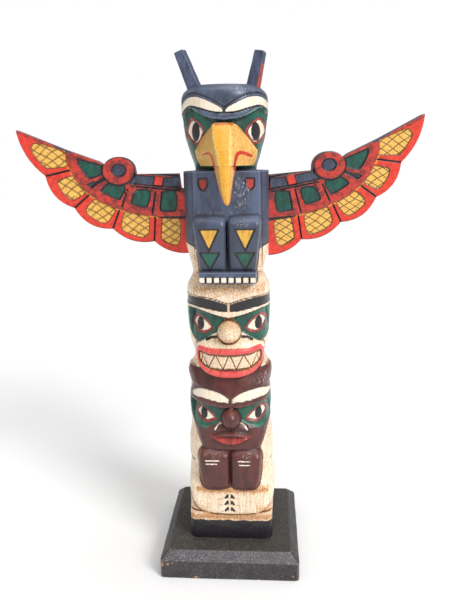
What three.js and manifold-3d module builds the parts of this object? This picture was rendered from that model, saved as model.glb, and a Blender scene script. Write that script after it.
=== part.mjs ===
// A carved and painted wooden totem pole on a square base board: an eagle above two bears.
// Millimetres, +Z up. The origin is the middle of the base's underside, and the carving faces -Y.
import * as THREE from 'three';
import { mergeVertices } from 'three/addons/utils/BufferGeometryUtils.js';
import Module from 'manifold-3d';

const wasm = await Module();
wasm.setup();

// Base board: a square with a chamfered upper edge
const baseWidth = 137;
const baseHeight = 26.5;
const baseChamferDrop = 7.7;
const baseChamferWidth = 7.8;

// Log
const logWidth = 84;
const poleHeight = 440;
const logLean = -0.36;
const footAside = 0.5;
const faceAside = 2;
const jointGap = 0.3;

// Eagle's beak, ears and wings
const beakReach = 65;
const beakTipAside = 2.2;
const earLengthLeft = 38;
const earLengthRight = 35;
const earWidth = 9.4;
const earThickness = 8;
const earTurn = 15;
const earLeanLeft = 21.5;
const earLeanRight = 12.6;
const wingThickness = 10;
const wingSetBack = 4;
const wingSpread = 155;
const wingTiltLeft = -2.3;
const wingTiltRight = 2.3;
const wingSweepLeft = 3;
const wingSweepRight = -9;
const wingOutLeft = 43.3;
const wingOutRight = 39;
const wingHeightLeft = 390.2;
const wingHeightRight = 387.8;

// Relief on the wings
const tierStep = 1.5;
const ringStep = 3;
const panelDepth = 1;
const grooveWidth = 1.6;
const grooveDepth = 1.2;

// How far a cutting shape runs past the surface that it cuts
const overrun = 1.5;

// Colours
const paint = (color, roughness) => new THREE.MeshStandardMaterial({ color, roughness, metalness: 0 });
const charcoal = paint(0x2b2a2c, 0.6);
const cream = paint(0xe9d6b4, 0.6);
const yellow = paint(0xe8b13c, 0.5);
const blue = paint(0x46506a, 0.5);
const red = paint(0xd8402f, 0.5);

// The carving is drawn on a pattern of this size, and keeps its proportions on a log of another size
const patternWidth = 84;
const patternHeight = 440;
const patternFoot = 26.5;
const girth = logWidth / patternWidth;
const rise = poleHeight / patternHeight;
const across = (x) => x * girth;
const up = (z) => baseHeight + jointGap + (z - patternFoot) * rise;
const degrees = (angle) => angle * Math.PI / 180;
const mix = (a, b, t) => a + (b - a) * Math.min(1, Math.max(0, t));
const middleOf = (corners) => [0, 1].map((k) => corners.reduce((sum, p) => sum + p[k], 0) / corners.length);

// The log's girth at each height of the pattern: [height, half width, front, back, squareness]
const logSides = 24;
const logRings = [
  [26.5, 41.8, 39.3, 38, 12], [55, 41.8, 39.3, 38, 12], [55.6, 42.4, 39, 38, 6], [84, 42.8, 39, 38, 5],
  [92, 43, 37, 38, 3.6], [99, 42.6, 36, 38, 3.2], [104.5, 41.4, 35.4, 37.5, 3.2], [110, 42.8, 36, 38, 3.2],
  [128, 42.6, 36.5, 38, 3], [142, 40.2, 37.8, 37.5, 2.7], [166, 41.3, 40, 37.5, 2.5],
  [178, 40.6, 40, 37.5, 2.5], [187, 39.4, 38, 37, 2.5], [198, 40.8, 34, 36.5, 2.5], [204, 38.8, 33, 36, 2.4],
  [209, 35.6, 33, 35, 2.4], [216, 34.1, 35, 34.5, 2.4], [223, 36.9, 37, 35, 2.4],
  [234, 39.4, 38.3, 36.3, 2.4], [272, 41.3, 39.5, 37, 2.5], [283, 40.7, 38.5, 37, 2.5],
  [288, 38, 36.5, 36, 2.5],
  [296, 33.8, 31, 34, 2.5], [304, 35.4, 29, 34, 2.5], [320, 39.6, 26, 35.5, 2.8], [326, 40.3, 26, 36, 3],
  [392, 40.3, 26, 36, 3], [392.6, 28.5, 27, 34, 2.2], [397, 29.4, 34, 34.5, 2.1], [408, 33.2, 37, 35.5, 2.1],
  [423, 38, 40, 37, 2.1], [438, 40.1, 42, 38, 2.1], [455, 40.2, 42, 38, 2.1], [460, 39.2, 41, 37.5, 2.1],
  [464, 36.2, 38.5, 35, 2.1], [466.5, 31.5, 33, 30, 2.2],
];
const crown = logRings.at(-1)[0];

// The cream bear's jaws stand out of the log and carry the lips and teeth
const jawRings = [
  [196, 31, 39, 20, 2.5], [200, 34.5, 42.6, 20, 2.5], [207, 36.6, 44.6, 20, 2.5], [228, 38.5, 45, 20, 2.5],
  [234, 39, 43, 20, 2.5], [242, 39, 38.5, 20, 2.5],
];

// A solid from a closed geometry, with the shared corners of its faces merged
function solid(geometry) {
  geometry.deleteAttribute('normal');
  geometry.deleteAttribute('uv');
  const merged = mergeVertices(geometry, 1e-4);
  return new wasm.Manifold(new wasm.Mesh({
    numProp: 3,
    vertProperties: Float32Array.from(merged.attributes.position.array),
    triVerts: Uint32Array.from(merged.index.array),
  }));
}

function geometryOf(body) {
  const { vertProperties, triVerts } = body.getMesh();
  const geometry = new THREE.BufferGeometry();
  geometry.setAttribute('position', new THREE.BufferAttribute(Float32Array.from(vertProperties), 3));
  geometry.setIndex(new THREE.BufferAttribute(Uint32Array.from(triVerts), 1));
  return geometry;
}

function meshOf(name, geometry, material) {
  geometry.computeVertexNormals();
  const mesh = new THREE.Mesh(geometry, material);
  mesh.name = name;
  return mesh;
}

// The carving is worked upright, then sheared sideways by the log's lean
const axisAt = (z) => footAside + (z - baseHeight) * Math.tan(degrees(logLean));

function lean(geometry) {
  const place = geometry.attributes.position;
  for (let i = 0; i < place.count; i += 1) {
    place.setX(i, place.getX(i) + axisAt(place.getZ(i)));
  }
  return geometry;
}

// A leaning body as it lies in the frame of a piece with this placement
const seenFrom = (placement, body) => solid(lean(geometryOf(body)).applyMatrix4(placement.clone().invert()));

// A closed body through level outlines with the same number of corners, listed anticlockwise
// from above, starting at the front. Each section is { z, outline: [[x, y], ...] }.
function stack(sections) {
  const sides = sections[0].outline.length;
  const rows = sections.length - 1;
  const geometry = new THREE.CylinderGeometry(1, 1, 1, sides, rows);
  const place = geometry.attributes.position;
  for (let i = 0; i < place.count; i += 1) {
    const [x, y, z] = [place.getX(i), place.getY(i), place.getZ(i)];
    const { z: height, outline } = sections[Math.round((0.5 + y) * rows)];
    if (Math.hypot(x, z) < 0.5) {
      place.setXYZ(i, ...middleOf(outline), height);
    } else {
      const turn = Math.atan2(x, z) / (2 * Math.PI);
      const corner = outline[Math.round((turn + 1) * sides) % sides];
      place.setXYZ(i, ...corner, height);
    }
  }
  return solid(geometry);
}

// The log, or any form of rings, with its surface moved out by a level that may change with height
function rounded(rings, level = 0) {
  const levelAt = typeof level === 'function' ? level : () => level;
  const signedPower = (value, power) => Math.sign(value) * Math.abs(value) ** power;
  const sections = rings.map(([height, halfWidth, front, back, squareness], row) => {
    const out = levelAt(height);
    const lift = row === rings.length - 1 ? out : 0;
    const drop = row === 0 ? out : 0;
    const outline = [];
    for (let k = 0; k < logSides; k += 1) {
      const turn = 2 * Math.PI * k / logSides;
      const depth = Math.cos(turn) > 0 ? front : back;
      const x = (halfWidth + out) * signedPower(Math.sin(turn), 2 / squareness);
      const y = -(depth + out) * signedPower(Math.cos(turn), 2 / squareness);
      outline.push([across(x), across(y)]);
    }
    return { z: up(height) + across(lift - drop), outline };
  });
  return stack(sections);
}

// Everything in front of the log's middle inside an outline [[x, z], ...] drawn on the pattern
function frontOf(outline) {
  const shape = new THREE.Shape(outline.map(([x, z]) => new THREE.Vector2(across(x + faceAside), up(z))));
  const geometry = new THREE.ExtrudeGeometry(shape, { depth: logWidth, bevelEnabled: false });
  geometry.rotateX(Math.PI / 2);
  return solid(geometry);
}

// Everything behind a flat front at this depth
function behind(front) {
  const block = new THREE.BoxGeometry(2 * logWidth, 2 * across(front), 3 * poleHeight);
  return solid(block);
}

const raised = (outline, level, rings = logRings) => rounded(rings, level).intersect(frontOf(outline));
const sunk = (outline, level, rings = logRings) => frontOf(outline).subtract(rounded(rings, level));

// Curves on the pattern
const smooth = (points, steps = 8) => new THREE.SplineCurve(points.map(([x, z]) => new THREE.Vector2(x, z)))
  .getPoints(steps).map((p) => [p.x, p.y]);
const flipped = (points) => points.map(([x, z]) => [-x, z]);
const shifted = (points, by) => points.map(([x, z]) => [x + by, z]);
const wholeWidth = (half) => [...flipped(half).reverse(), ...half.slice(half[0][0] === 0 ? 1 : 0)];
const between = (upper, lower) => [...upper, ...[...lower].reverse()];

// A band of even width along a curve
function stroke(points, width) {
  const edge = (side) => points.map(([x, z], k) => {
    const before = points[Math.max(0, k - 1)];
    const after = points[Math.min(points.length - 1, k + 1)];
    const run = Math.hypot(after[0] - before[0], after[1] - before[1]);
    return [x - side * (after[1] - before[1]) / run, z + side * (after[0] - before[0]) / run];
  });
  return between(edge(width / 2), edge(-width / 2));
}

// A shape whose corners are moved out from their middle by the same amount, or in where it is below zero
function grown(corners, amount) {
  const middle = middleOf(corners);
  return corners.map((p) => {
    const reach = Math.hypot(p[0] - middle[0], p[1] - middle[1]);
    return [0, 1].map((k) => middle[k] + (p[k] - middle[k]) * (1 + amount / reach));
  });
}

// The outline of a closed shape as a groove
function rim(points, width) {
  return frontOf(grown(points, width / 2)).subtract(frontOf(grown(points, -width / 2)));
}

const eyeRim = (eye, depth) => rim(eye, grooveWidth)
  .subtract(rounded(logRings, (z) => depth(z) - panelDepth));
const eachSide = (cut) => [cut((points) => points), cut(flipped)];

// Knees and shins: a pair of blocks with their outer and upper edges bevelled
function legs({ inner, top, bottom, front, bevel, shoulder, aside }) {
  const section = (side, z, outer, reach) => {
    const outline = [
      [inner, -reach], [outer - bevel, -reach], [outer, -reach + bevel], [outer, 0], [inner, 0],
    ].map(([x, y]) => [across(side * x + faceAside + aside), across(y)]);
    return { z: up(z), outline: side < 0 ? outline.reverse() : outline };
  };
  const [left, right] = [-1, 1].map((side) => stack([
    section(side, bottom.z, bottom.outer, front),
    section(side, top.z - shoulder, top.outer, front),
    section(side, top.z - shoulder / 3, top.outer - shoulder / 5, front - shoulder / 5),
    section(side, top.z, top.outer - shoulder / 2, front - shoulder),
  ]));
  return right.add(left);
}

// The eagle's head
const browGroove = wholeWidth(smooth([
  [0, 446.3], [11, 453.4], [21, 457.7], [29, 459.4], [35, 458], [41, 453],
]));
const lowGroove = wholeWidth(smooth([
  [0, 441.4], [11, 442.6], [22, 446], [31, 448.4], [37, 446], [42, 441],
]));
const browRidge = wholeWidth(smooth([[0, 435.4], [9, 436.4], [15, 438.5], [21, 442], [27, 446.4]]));
const eagleFaceDepth = (z) => -mix(0, 5, (z - 408) / 30);
const eagleEye = [[30.4, 437.8], [35.8, 427], [25.7, 416.6], [19.2, 427.4]];

function carveEagleHead(log) {
  let body = log;
  const socket = [
    [7, 436], [15, 438.5], [21, 442], [27, 446.4], [34, 447.6], [46, 440], [46, 395],
    [24.5, 395], [25, 408], [20, 420.4], [13, 430.5], [9, 433.8],
  ];
  eachSide((side) => { body = body.subtract(sunk(side(socket), eagleFaceDepth)); });
  const lens = between(lowGroove.slice(4, -4), browRidge.slice(1, -1));
  body = body.add(raised(lens, 1));
  [browGroove, lowGroove].forEach((line) => {
    body = body.subtract(sunk(stroke(line, grooveWidth), -grooveDepth + 0.3));
  });
  eachSide((side) => {
    body = body.subtract(eyeRim(side(eagleEye), eagleFaceDepth));
  });
  return body;
}

// The eagle's breast, legs and claws
const breast = [[-31, 300], [31, 300], [31, 392.4], [-31, 392.4]];
const breastLevel = 8;
const eagleLegs = {
  inner: 0.7, top: { z: 353, outer: 31.5 }, bottom: { z: 300, outer: 26 }, front: 42, bevel: 4, shoulder: 8,
  aside: 0,
};
const talon = {
  top: 302, bottom: 291.2, slotTop: 297, halfWidth: 26.8, front: 46.5, count: 8, gap: 1.6, depth: 2.5,
};
const breastInset = smooth([[25.5, 386], [25.5, 379], [21.5, 374.5], [17, 379], [17, 386]], 8);
const legPanels = [{ top: 340.5, tip: 321.3 }, { top: 319, tip: 302.5 }];

function carveEagleBody(log) {
  let body = log.add(raised(breast, breastLevel)).add(legs(eagleLegs));
  const slab = [[-1, talon.bottom], [1, talon.bottom], [1, talon.top], [-1, talon.top]]
    .map(([side, z]) => [side * talon.halfWidth, z]);
  body = body.add(frontOf(slab).intersect(behind(talon.front)));
  const slotFoot = up(talon.bottom - overrun);
  const slotHeight = up(talon.slotTop) - slotFoot;
  for (let k = 1; k < talon.count; k += 1) {
    const x = talon.halfWidth * (2 * k / talon.count - 1);
    const slot = new THREE.BoxGeometry(across(talon.gap), across(2 * talon.depth), slotHeight);
    slot.translate(across(x + faceAside), -across(talon.front), slotFoot + slotHeight / 2);
    body = body.subtract(solid(slot));
  }
  eachSide((side) => {
    body = body.subtract(sunk(side(breastInset), breastLevel - panelDepth));
    legPanels.forEach(({ top, tip }) => {
      const panel = frontOf(side([[7.4, top], [25.4, top], [16.4, tip]]));
      body = body.subtract(panel.subtract(behind(eagleLegs.front - panelDepth)));
    });
  });
  return body;
}

// The cream bear
const bandTop = wholeWidth(smooth([[1.2, 270.6], [20, 275.2], [44, 276]], 8));
const bandBottom = wholeWidth(smooth([[1.2, 263], [20, 265.7], [44, 268]], 8));
const creamRidge = smooth([[0, 257], [10, 259.3], [23, 263.3], [44, 265]], 8);
const creamFaceDepth = (z) => -mix(0, 4.5, (z - 234) / 24);
const creamEye = [[29.2, 258], [34.6, 250], [25.4, 240.8], [15.6, 248.3]];
const lipOutside = wholeWidth(smooth([
  [0, 230.6], [18, 231], [30.5, 230.5], [32.6, 223], [30.6, 210.5], [23.5, 202.6], [9.5, 198.4], [0, 198],
], 9));
const lipInside = wholeWidth(smooth([
  [0, 222.3], [19, 223], [29.3, 224], [30, 219], [27.8, 212], [19.5, 207.2], [0, 206],
], 8));
const teethDepth = 3;
const toothCuts = [[[3, 207], [13, 221]], [[13, 221], [21, 207]], [[21, 207], [28, 221]]];
const creamFold = smooth([[0, 271], [15, 275.6], [44, 278.4]], 6);
const creamNose = { x: 0.2, z: 243.2, width: 11.2, height: 11.4, front: 52 };

// The brown bear
const brownBandTop = smooth([[1.2, 176.5], [6, 180.3], [13, 183.3], [22, 184.8], [33, 183.8], [39, 178]]);
const brownBandBottom = smooth([[1.2, 172.2], [14.5, 173.7], [27, 175.7], [39, 174.3]]);
const brownRidge = smooth([[0, 166.8], [9, 167.6], [24.8, 170], [44, 170.6]], 8);
const brownFaceDepth = (z) => -mix(0, 4.5, (z - 146) / 20);
const brownEye = [[30, 166], [34.4, 158.5], [25.2, 151.2], [15.2, 157.2]];
const brownNose = { x: 0.2, z: 155.6, width: 9.3, height: 11, front: 49 };
const brownLips = [
  ...smooth([[-20.2, 137.4], [0, 143.9], [20.2, 137.4]], 10),
  ...smooth([[20.2, 137.4], [0, 128.8], [-20.2, 137.4]], 10).slice(1, -1),
];
const lipLevel = 6;
const brownLegs = {
  inner: 0.6, top: { z: 125, outer: 31 }, bottom: { z: 82.4, outer: 30.6 }, front: 44, bevel: 5, shoulder: 8,
  aside: -1.6,
};

// A round nose, as wide and tall as stated, standing out to its front
const noseRoot = 34;

function nose({ x, z, width, height, front }) {
  const ball = new THREE.SphereGeometry(1, 14, 8);
  const depth = front - noseRoot;
  ball.scale(across(width), across(depth), height * rise);
  ball.translate(across(x + faceAside), -across(front - depth), up(z));
  return solid(ball);
}

function carveFace(log, { ridge, foot, depth, eye }) {
  let body = log;
  eachSide((side) => {
    const socket = [...ridge.filter(([x]) => x > 6), [46, foot[0][1]], ...foot];
    body = body.subtract(sunk(side(socket), depth));
    body = body.subtract(eyeRim(side(eye), depth));
  });
  return body;
}

function carveCreamBear(log) {
  let body = carveFace(log, {
    ridge: creamRidge,
    depth: creamFaceDepth,
    eye: creamEye,
    foot: [[36, 233], [31, 232.4], [23, 236], [10, 244]],
  });
  eachSide((side) => {
    const band = between(bandTop, bandBottom).filter(([x]) => x > 0);
    body = body.subtract(sunk(side(band), -panelDepth));
    body = body.subtract(sunk(side(stroke(creamFold, grooveWidth)), -grooveDepth));
  });
  body = body.add(raised(lipOutside, 0, jawRings)).add(nose(creamNose));
  body = body.subtract(sunk(lipInside, -teethDepth, jawRings));
  eachSide((side) => {
    const nostril = stroke([[12.6, 238.6], [21.5, 235.4]], 2.4);
    body = body.subtract(sunk(side(nostril), -grooveDepth));
    toothCuts.forEach((cut) => {
      body = body.subtract(sunk(side(stroke(cut, 1)), -teethDepth - panelDepth, jawRings));
    });
  });
  return body;
}

function carveBrownBear(log) {
  let body = carveFace(log, {
    ridge: brownRidge,
    depth: brownFaceDepth,
    eye: brownEye,
    foot: [[35.5, 146], [29.3, 144.6], [21.8, 146.6], [10, 153]],
  });
  const cheek = [[-36, 147], [36, 147], [27, 121], [-27, 121]];
  body = body.add(raised(cheek, 2.5)).add(nose(brownNose));
  body = body.add(raised(brownLips, lipLevel));
  body = body.subtract(sunk(stroke([[-17, 137.6], [17, 137.6]], grooveWidth), lipLevel - grooveDepth));
  body = body.add(legs(brownLegs));
  eachSide((side) => {
    body = body.subtract(sunk(side(between(brownBandTop, brownBandBottom)), -panelDepth));
    const ear = [[30, 186], [42, 186], [46, 203], [36, 203]];
    body = body.add(raised(side(ear), 2));
    const nostril = stroke([[9.6, 151.6], [16.6, 143.4]], 2.4);
    body = body.subtract(sunk(side(nostril), -grooveDepth + 0.6));
  });
  return body;
}

// The feet: a rounded shoe on the square block, with three pairs of notches
const shoeLevel = 2.6;
const notchHeights = [73.6, 66.6, 59.6];
const notchAside = -2.8;

function carveFeet(log) {
  const shoe = wholeWidth(smooth([[0, 54], [29, 55.8], [36, 60.5], [40, 66], [42.5, 74], [42.5, 84]], 7));
  let body = log.add(raised([...shoe, [40, 86], [-40, 86]], shoeLevel));
  eachSide((side) => {
    notchHeights.forEach((z) => {
      const drop = [[0.8, z - 2.2], [3.6, z - 1.4], [5.4, z + 1], [1.2, z + 2.6]];
      const stem = stroke([[5.4, z - 1.6], [13, z - 2.6]], grooveWidth / 2);
      body = body.subtract(sunk(shifted(side(drop), notchAside), shoeLevel - grooveDepth));
      body = body.subtract(sunk(shifted(side(stem), notchAside), shoeLevel - grooveDepth / 2));
    });
  });
  return body;
}

// Flat seats down the log's sides, where the wings are glued
const sideSeat = across(39.2);
const seatFront = wingSetBack - tierStep - overrun;
const seatBack = wingSetBack + wingThickness + overrun;
const seatFoot = 300;
const seatTop = 392.2;

function cutSeats(log) {
  const width = logWidth / 4;
  let body = log;
  [-1, 1].forEach((side) => {
    const seat = new THREE.BoxGeometry(width, seatBack - seatFront, up(seatTop) - up(seatFoot));
    seat.translate(
      side * (sideSeat + width / 2), (seatFront + seatBack) / 2, (up(seatTop) + up(seatFoot)) / 2,
    );
    body = body.subtract(solid(seat));
  });
  return body;
}

function makePole() {
  let body = rounded(logRings);
  body = carveEagleHead(body);
  body = carveEagleBody(body);
  body = carveCreamBear(body);
  body = carveBrownBear(body);
  body = carveFeet(body);
  return meshOf('pole', lean(geometryOf(cutSeats(body))), cream);
}

// The beak: a wedge over the face, and a hook that hangs clear of the breast.
// Each row is [height, half width, depth of its sides, half width of its front, front, back].
const beakPattern = 65;
const wedgeRows = [
  [396.8, 24.8, 22, 4.6, 62, 10], [410, 28.4, 25, 4.6, 58.5, 10], [421, 20.2, 33, 6, 53, 10],
  [431.5, 11, 37, 9.5, 46, 10], [433.4, 6.2, 38, 6, 45, 10],
];
const hookRows = [
  [363.4, 1.4, 60.5, 0.8, 62, 59.5], [367, 3.4, 60, 2, 64, 57], [375, 5.2, 58, 3, 65, 53],
  [384, 7, 55, 3.8, 64.4, 49], [397, 10, 49, 4.4, 62, 42], [412, 8, 50, 4.4, 57, 40],
];
const hookRoot = 400;
const hookLength = hookRoot - hookRows[0][0];

function beakPart(rows, reach) {
  return stack(rows.map(([z, wide, sides, facet, front, back]) => {
    const drift = beakTipAside * Math.max(0, (hookRoot - z) / hookLength) ** 2;
    const corners = [
      [0, front], [facet, front - 0.4], [wide, sides], [wide, back],
      [0, back], [-wide, back], [-wide, sides], [-facet, front - 0.4],
    ];
    const outline = corners.map(([x, y]) => [across(x + faceAside + drift), -across(y * reach)]);
    return { z: up(z), outline };
  }));
}

function makeBeak() {
  const body = beakPart(wedgeRows, 1)
    .add(beakPart(hookRows, beakReach / beakPattern))
    .subtract(rounded(logRings, jointGap));
  return meshOf('beak', lean(geometryOf(body)), yellow);
}

// The ears: tapered plates, scribed to the crown
const earAside = 25.5;
const earForward = 12;
const earFoot = 462;
const earRootDepth = 6;

function makeEar(side, length, leanAngle) {
  const half = earWidth / 2;
  const plate = (z, grow) => ({
    z,
    outline: [
      [0, -earThickness / 2], [half * grow, -earThickness / 2], [half * grow * 1.1, earThickness / 2],
      [0, earThickness / 2], [-half * grow, earThickness / 2], [-half * grow * 0.9, -earThickness / 2],
    ],
  });
  const placement = new THREE.Matrix4()
    .makeTranslation(side * across(earAside) + axisAt(up(earFoot)), -across(earForward), up(earFoot))
    .multiply(new THREE.Matrix4().makeRotationY(degrees(side * leanAngle)))
    .multiply(new THREE.Matrix4().makeRotationZ(degrees(-earTurn)));
  const body = stack([plate(-earRootDepth, 1.34), plate(length / 2, 1.12), plate(length, 1)])
    .subtract(seenFrom(placement, rounded(logRings, jointGap)));
  const ear = meshOf(side < 0 ? 'ear_left' : 'ear_right', geometryOf(body), blue);
  ear.applyMatrix4(placement);
  return ear;
}

// The wings: each is a board carved on its front, drawn from its root outwards and up
const wingPattern = 155;
const wingScale = wingSpread / wingPattern;
const feathers = [
  { cusp: [155.1, 48.5], inner: [110, 27.7], bulge: 5 },
  { cusp: [131.7, 4], inner: [107.2, 8.5], bulge: 6.3 },
  { cusp: [106.9, -27.8], inner: [90.9, -15.5], bulge: 6.6 },
  { cusp: [71.3, -50], inner: [63, -31.5], bulge: 5.6 },
  { cusp: [31.5, -64.4], inner: [28.7, -40.3], bulge: 3.4 },
  { cusp: [0.8, -77.9], inner: [0.8, -43.2], bulge: 0 },
];
const wingRing = { u: 60.3, v: 5.3, width: 15.6, height: 13.2, eyeWidth: 7, eyeHeight: 5.8 };
const strip = { root: 2.5, top: -0.3, bottom: -15.2 };
const featherBorder = 8.4;
const tierBorder = 2.6;

// Points of an arc from one corner to the next, swelling out to its right by the bulge
function arc(from, to, bulge, steps = 6) {
  const [du, dv] = [to[0] - from[0], to[1] - from[1]];
  const run = Math.hypot(du, dv);
  const points = [];
  for (let k = 0; k < steps; k += 1) {
    const t = k / steps;
    const out = 4 * bulge * t * (1 - t);
    points.push([from[0] + du * t + out * dv / run, from[1] + dv * t - out * du / run]);
  }
  return points;
}

const oval = (width, height, steps = 20) => Array.from({ length: steps }, (_, k) => {
  const turn = 2 * Math.PI * k / steps;
  return [wingRing.u + width * Math.cos(turn), wingRing.v + height * Math.sin(turn)];
});

const shoulder = [[110, 27.7], [80, 15.5], [60, 2], [strip.root, strip.top], [strip.root, strip.bottom]];
const rootInside = -8;
const tierArc = new THREE.SplineCurve(feathers.map(({ inner }) => new THREE.Vector2(...inner)))
  .getPoints(16).map((p) => [p.x, p.y]);
const tierPanels = [
  [[77, 10], [101, 20], [100, 4], [93, -3.5], [80, 0]],
  [[62, -10.5], [80, -3], [86, -13], [66, -26]],
  [[34, -16], [55, -13], [59, -27], [35, -35]],
  [[5, -17.5], [27, -17.5], [27, -38], [6, -40.5]],
];
const tierLines = [
  [[-4, -15.9], [45, -11], [63, -10]], [[30, -17], [30.5, -37]], [[59, -8], [63, -28]], [[70, -3], [89, -14]],
];

function makeWing({ side, out, tilt, sweep, root }) {
  const rootHeight = up(root);
  const board = (outline, from, to) => {
    const corners = outline.map(([u, v]) => new THREE.Vector2(side * u, v).multiplyScalar(wingScale));
    const shape = new THREE.Shape(corners);
    const geometry = new THREE.ExtrudeGeometry(shape, { depth: to - from, bevelEnabled: false });
    geometry.translate(0, 0, from);
    return solid(geometry);
  };
  const clear = ringStep + overrun;
  const core = -wingThickness / 2;
  const scallops = feathers.slice(0, -1)
    .flatMap(({ cusp, bulge }, k) => arc(cusp, feathers[k + 1].cusp, -bulge));
  const { cusp: rootBottom, inner: rootTier } = feathers.at(-1);
  const topDown = [...shoulder].reverse();
  let body = board([
    ...scallops, rootBottom, [rootInside, rootBottom[1]], [rootInside, strip.bottom], ...topDown,
  ], -wingThickness, 0);
  for (let k = 0; k < feathers.length - 1; k += 1) {
    const [a, b] = [feathers[k], feathers[k + 1]];
    const edge = arc(a.cusp, b.cusp, -a.bulge).slice(1);
    body = body.subtract(board(grown([...edge, b.inner, a.inner], -featherBorder), -panelDepth, clear));
    if (k > 0) {
      const split = grown([a.inner, a.cusp], overrun * 2);
      body = body.subtract(board(stroke(split, grooveWidth), -grooveDepth, clear));
    }
  }
  let tier = board([
    ...tierArc, [rootInside, rootTier[1]], [rootInside, strip.bottom], ...topDown.slice(0, -1),
  ], core, tierStep);
  tierPanels.forEach((corners) => {
    tier = tier.subtract(board(grown(corners, -tierBorder), tierStep - panelDepth, clear));
  });
  tierLines.forEach((line) => {
    tier = tier.subtract(board(stroke(line, grooveWidth), tierStep - grooveDepth, clear));
  });
  body = body.add(tier).add(board(oval(wingRing.width, wingRing.height), core, ringStep));
  body = body.subtract(board(oval(wingRing.eyeWidth, wingRing.eyeHeight), ringStep - panelDepth, clear));

  const placement = new THREE.Matrix4()
    .makeTranslation(side * across(out) + axisAt(rootHeight), wingSetBack, rootHeight)
    .multiply(new THREE.Matrix4().makeRotationZ(degrees(-side * sweep)))
    .multiply(new THREE.Matrix4().makeRotationX(Math.PI / 2))
    .multiply(new THREE.Matrix4().makeRotationZ(degrees(side * tilt)));
  const log = new THREE.BoxGeometry(2 * (sideSeat + jointGap), logWidth, poleHeight);
  log.translate(0, 0, up(crown) - poleHeight / 2);
  body = body.subtract(seenFrom(placement, solid(log)));
  const wing = meshOf(side < 0 ? 'wing_left' : 'wing_right', geometryOf(body), red);
  wing.applyMatrix4(placement);
  return wing;
}

// The base
function makeBase() {
  const square = (z, half) => ({ z, outline: [[-half, -half], [half, -half], [half, half], [-half, half]] });
  const half = baseWidth / 2;
  const board = stack([
    square(0, half), square(baseHeight - baseChamferDrop, half), square(baseHeight, half - baseChamferWidth),
  ]);
  return meshOf('base', geometryOf(board), charcoal);
}

const group = new THREE.Group();
group.add(makeBase());
group.add(makePole());
group.add(makeBeak());
group.add(makeEar(-1, earLengthLeft, earLeanLeft));
group.add(makeEar(1, earLengthRight, earLeanRight));
group.add(makeWing({
  side: -1, out: wingOutLeft, tilt: wingTiltLeft, sweep: wingSweepLeft, root: wingHeightLeft,
}));
group.add(makeWing({
  side: 1, out: wingOutRight, tilt: wingTiltRight, sweep: wingSweepRight, root: wingHeightRight,
}));

export default group;
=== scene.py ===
import math
import bpy
import numpy as np
from mathutils import Matrix, Vector


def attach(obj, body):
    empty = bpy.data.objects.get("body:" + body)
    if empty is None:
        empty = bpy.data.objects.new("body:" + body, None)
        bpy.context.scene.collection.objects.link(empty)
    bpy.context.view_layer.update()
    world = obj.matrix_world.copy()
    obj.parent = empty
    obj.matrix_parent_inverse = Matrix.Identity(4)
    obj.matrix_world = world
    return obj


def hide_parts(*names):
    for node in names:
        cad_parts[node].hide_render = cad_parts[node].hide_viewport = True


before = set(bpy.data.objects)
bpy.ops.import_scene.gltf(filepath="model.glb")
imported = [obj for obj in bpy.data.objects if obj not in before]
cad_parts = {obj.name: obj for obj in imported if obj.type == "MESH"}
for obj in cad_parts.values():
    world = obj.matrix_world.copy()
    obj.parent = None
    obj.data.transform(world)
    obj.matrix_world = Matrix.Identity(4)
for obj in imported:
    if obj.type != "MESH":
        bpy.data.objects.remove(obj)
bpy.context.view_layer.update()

# Base board
# One square board of soft wood with a chamfered upper edge, painted charcoal by brush. The paint is dusty on
# the front chamfer, and chipped down to bare wood at a few places on the rim. The pole is glued on its top.
MM = 0.001
JOINT = 0.3
BASE_HALF = 68.5
BASE_HEIGHT = 26.5
BASE_RIM = 18.8
CHAMFER_WIDTH = 7.8
CHARCOAL = (50, 46, 52)
CHARCOAL_DUST = (98, 94, 100)
BARE_WOOD = (222, 170, 120)


def colour(rgb):
    """A screen colour of three 0 to 255 numbers as linear light, with alpha 1."""
    part = np.asarray(rgb, float) / 255
    return (*np.where(part <= 0.04045, part / 12.92, ((part + 0.055) / 1.055) ** 2.4), 1.0)


def bulge(grid, reach=2):
    """How far each point stands out from the middle of its four neighbours a few steps away, in mm. It is
    above zero on outer edges, which wear, and below zero in hollows, which hold dirt and painted shade."""
    along = np.gradient(grid, axis=0)
    around = (np.roll(grid, -1, axis=1) - np.roll(grid, 1, axis=1)) / 2
    normal = np.cross(around, along)
    normal /= np.linalg.norm(normal, axis=-1, keepdims=True) + 1e-9
    rows = np.arange(len(grid))
    above = grid[np.minimum(rows + reach, len(grid) - 1)]
    below = grid[np.maximum(rows - reach, 0)]
    middle = (above + below + np.roll(grid, reach, axis=1) + np.roll(grid, -reach, axis=1)) / 4
    return ((grid - middle) * normal).sum(-1)


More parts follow.
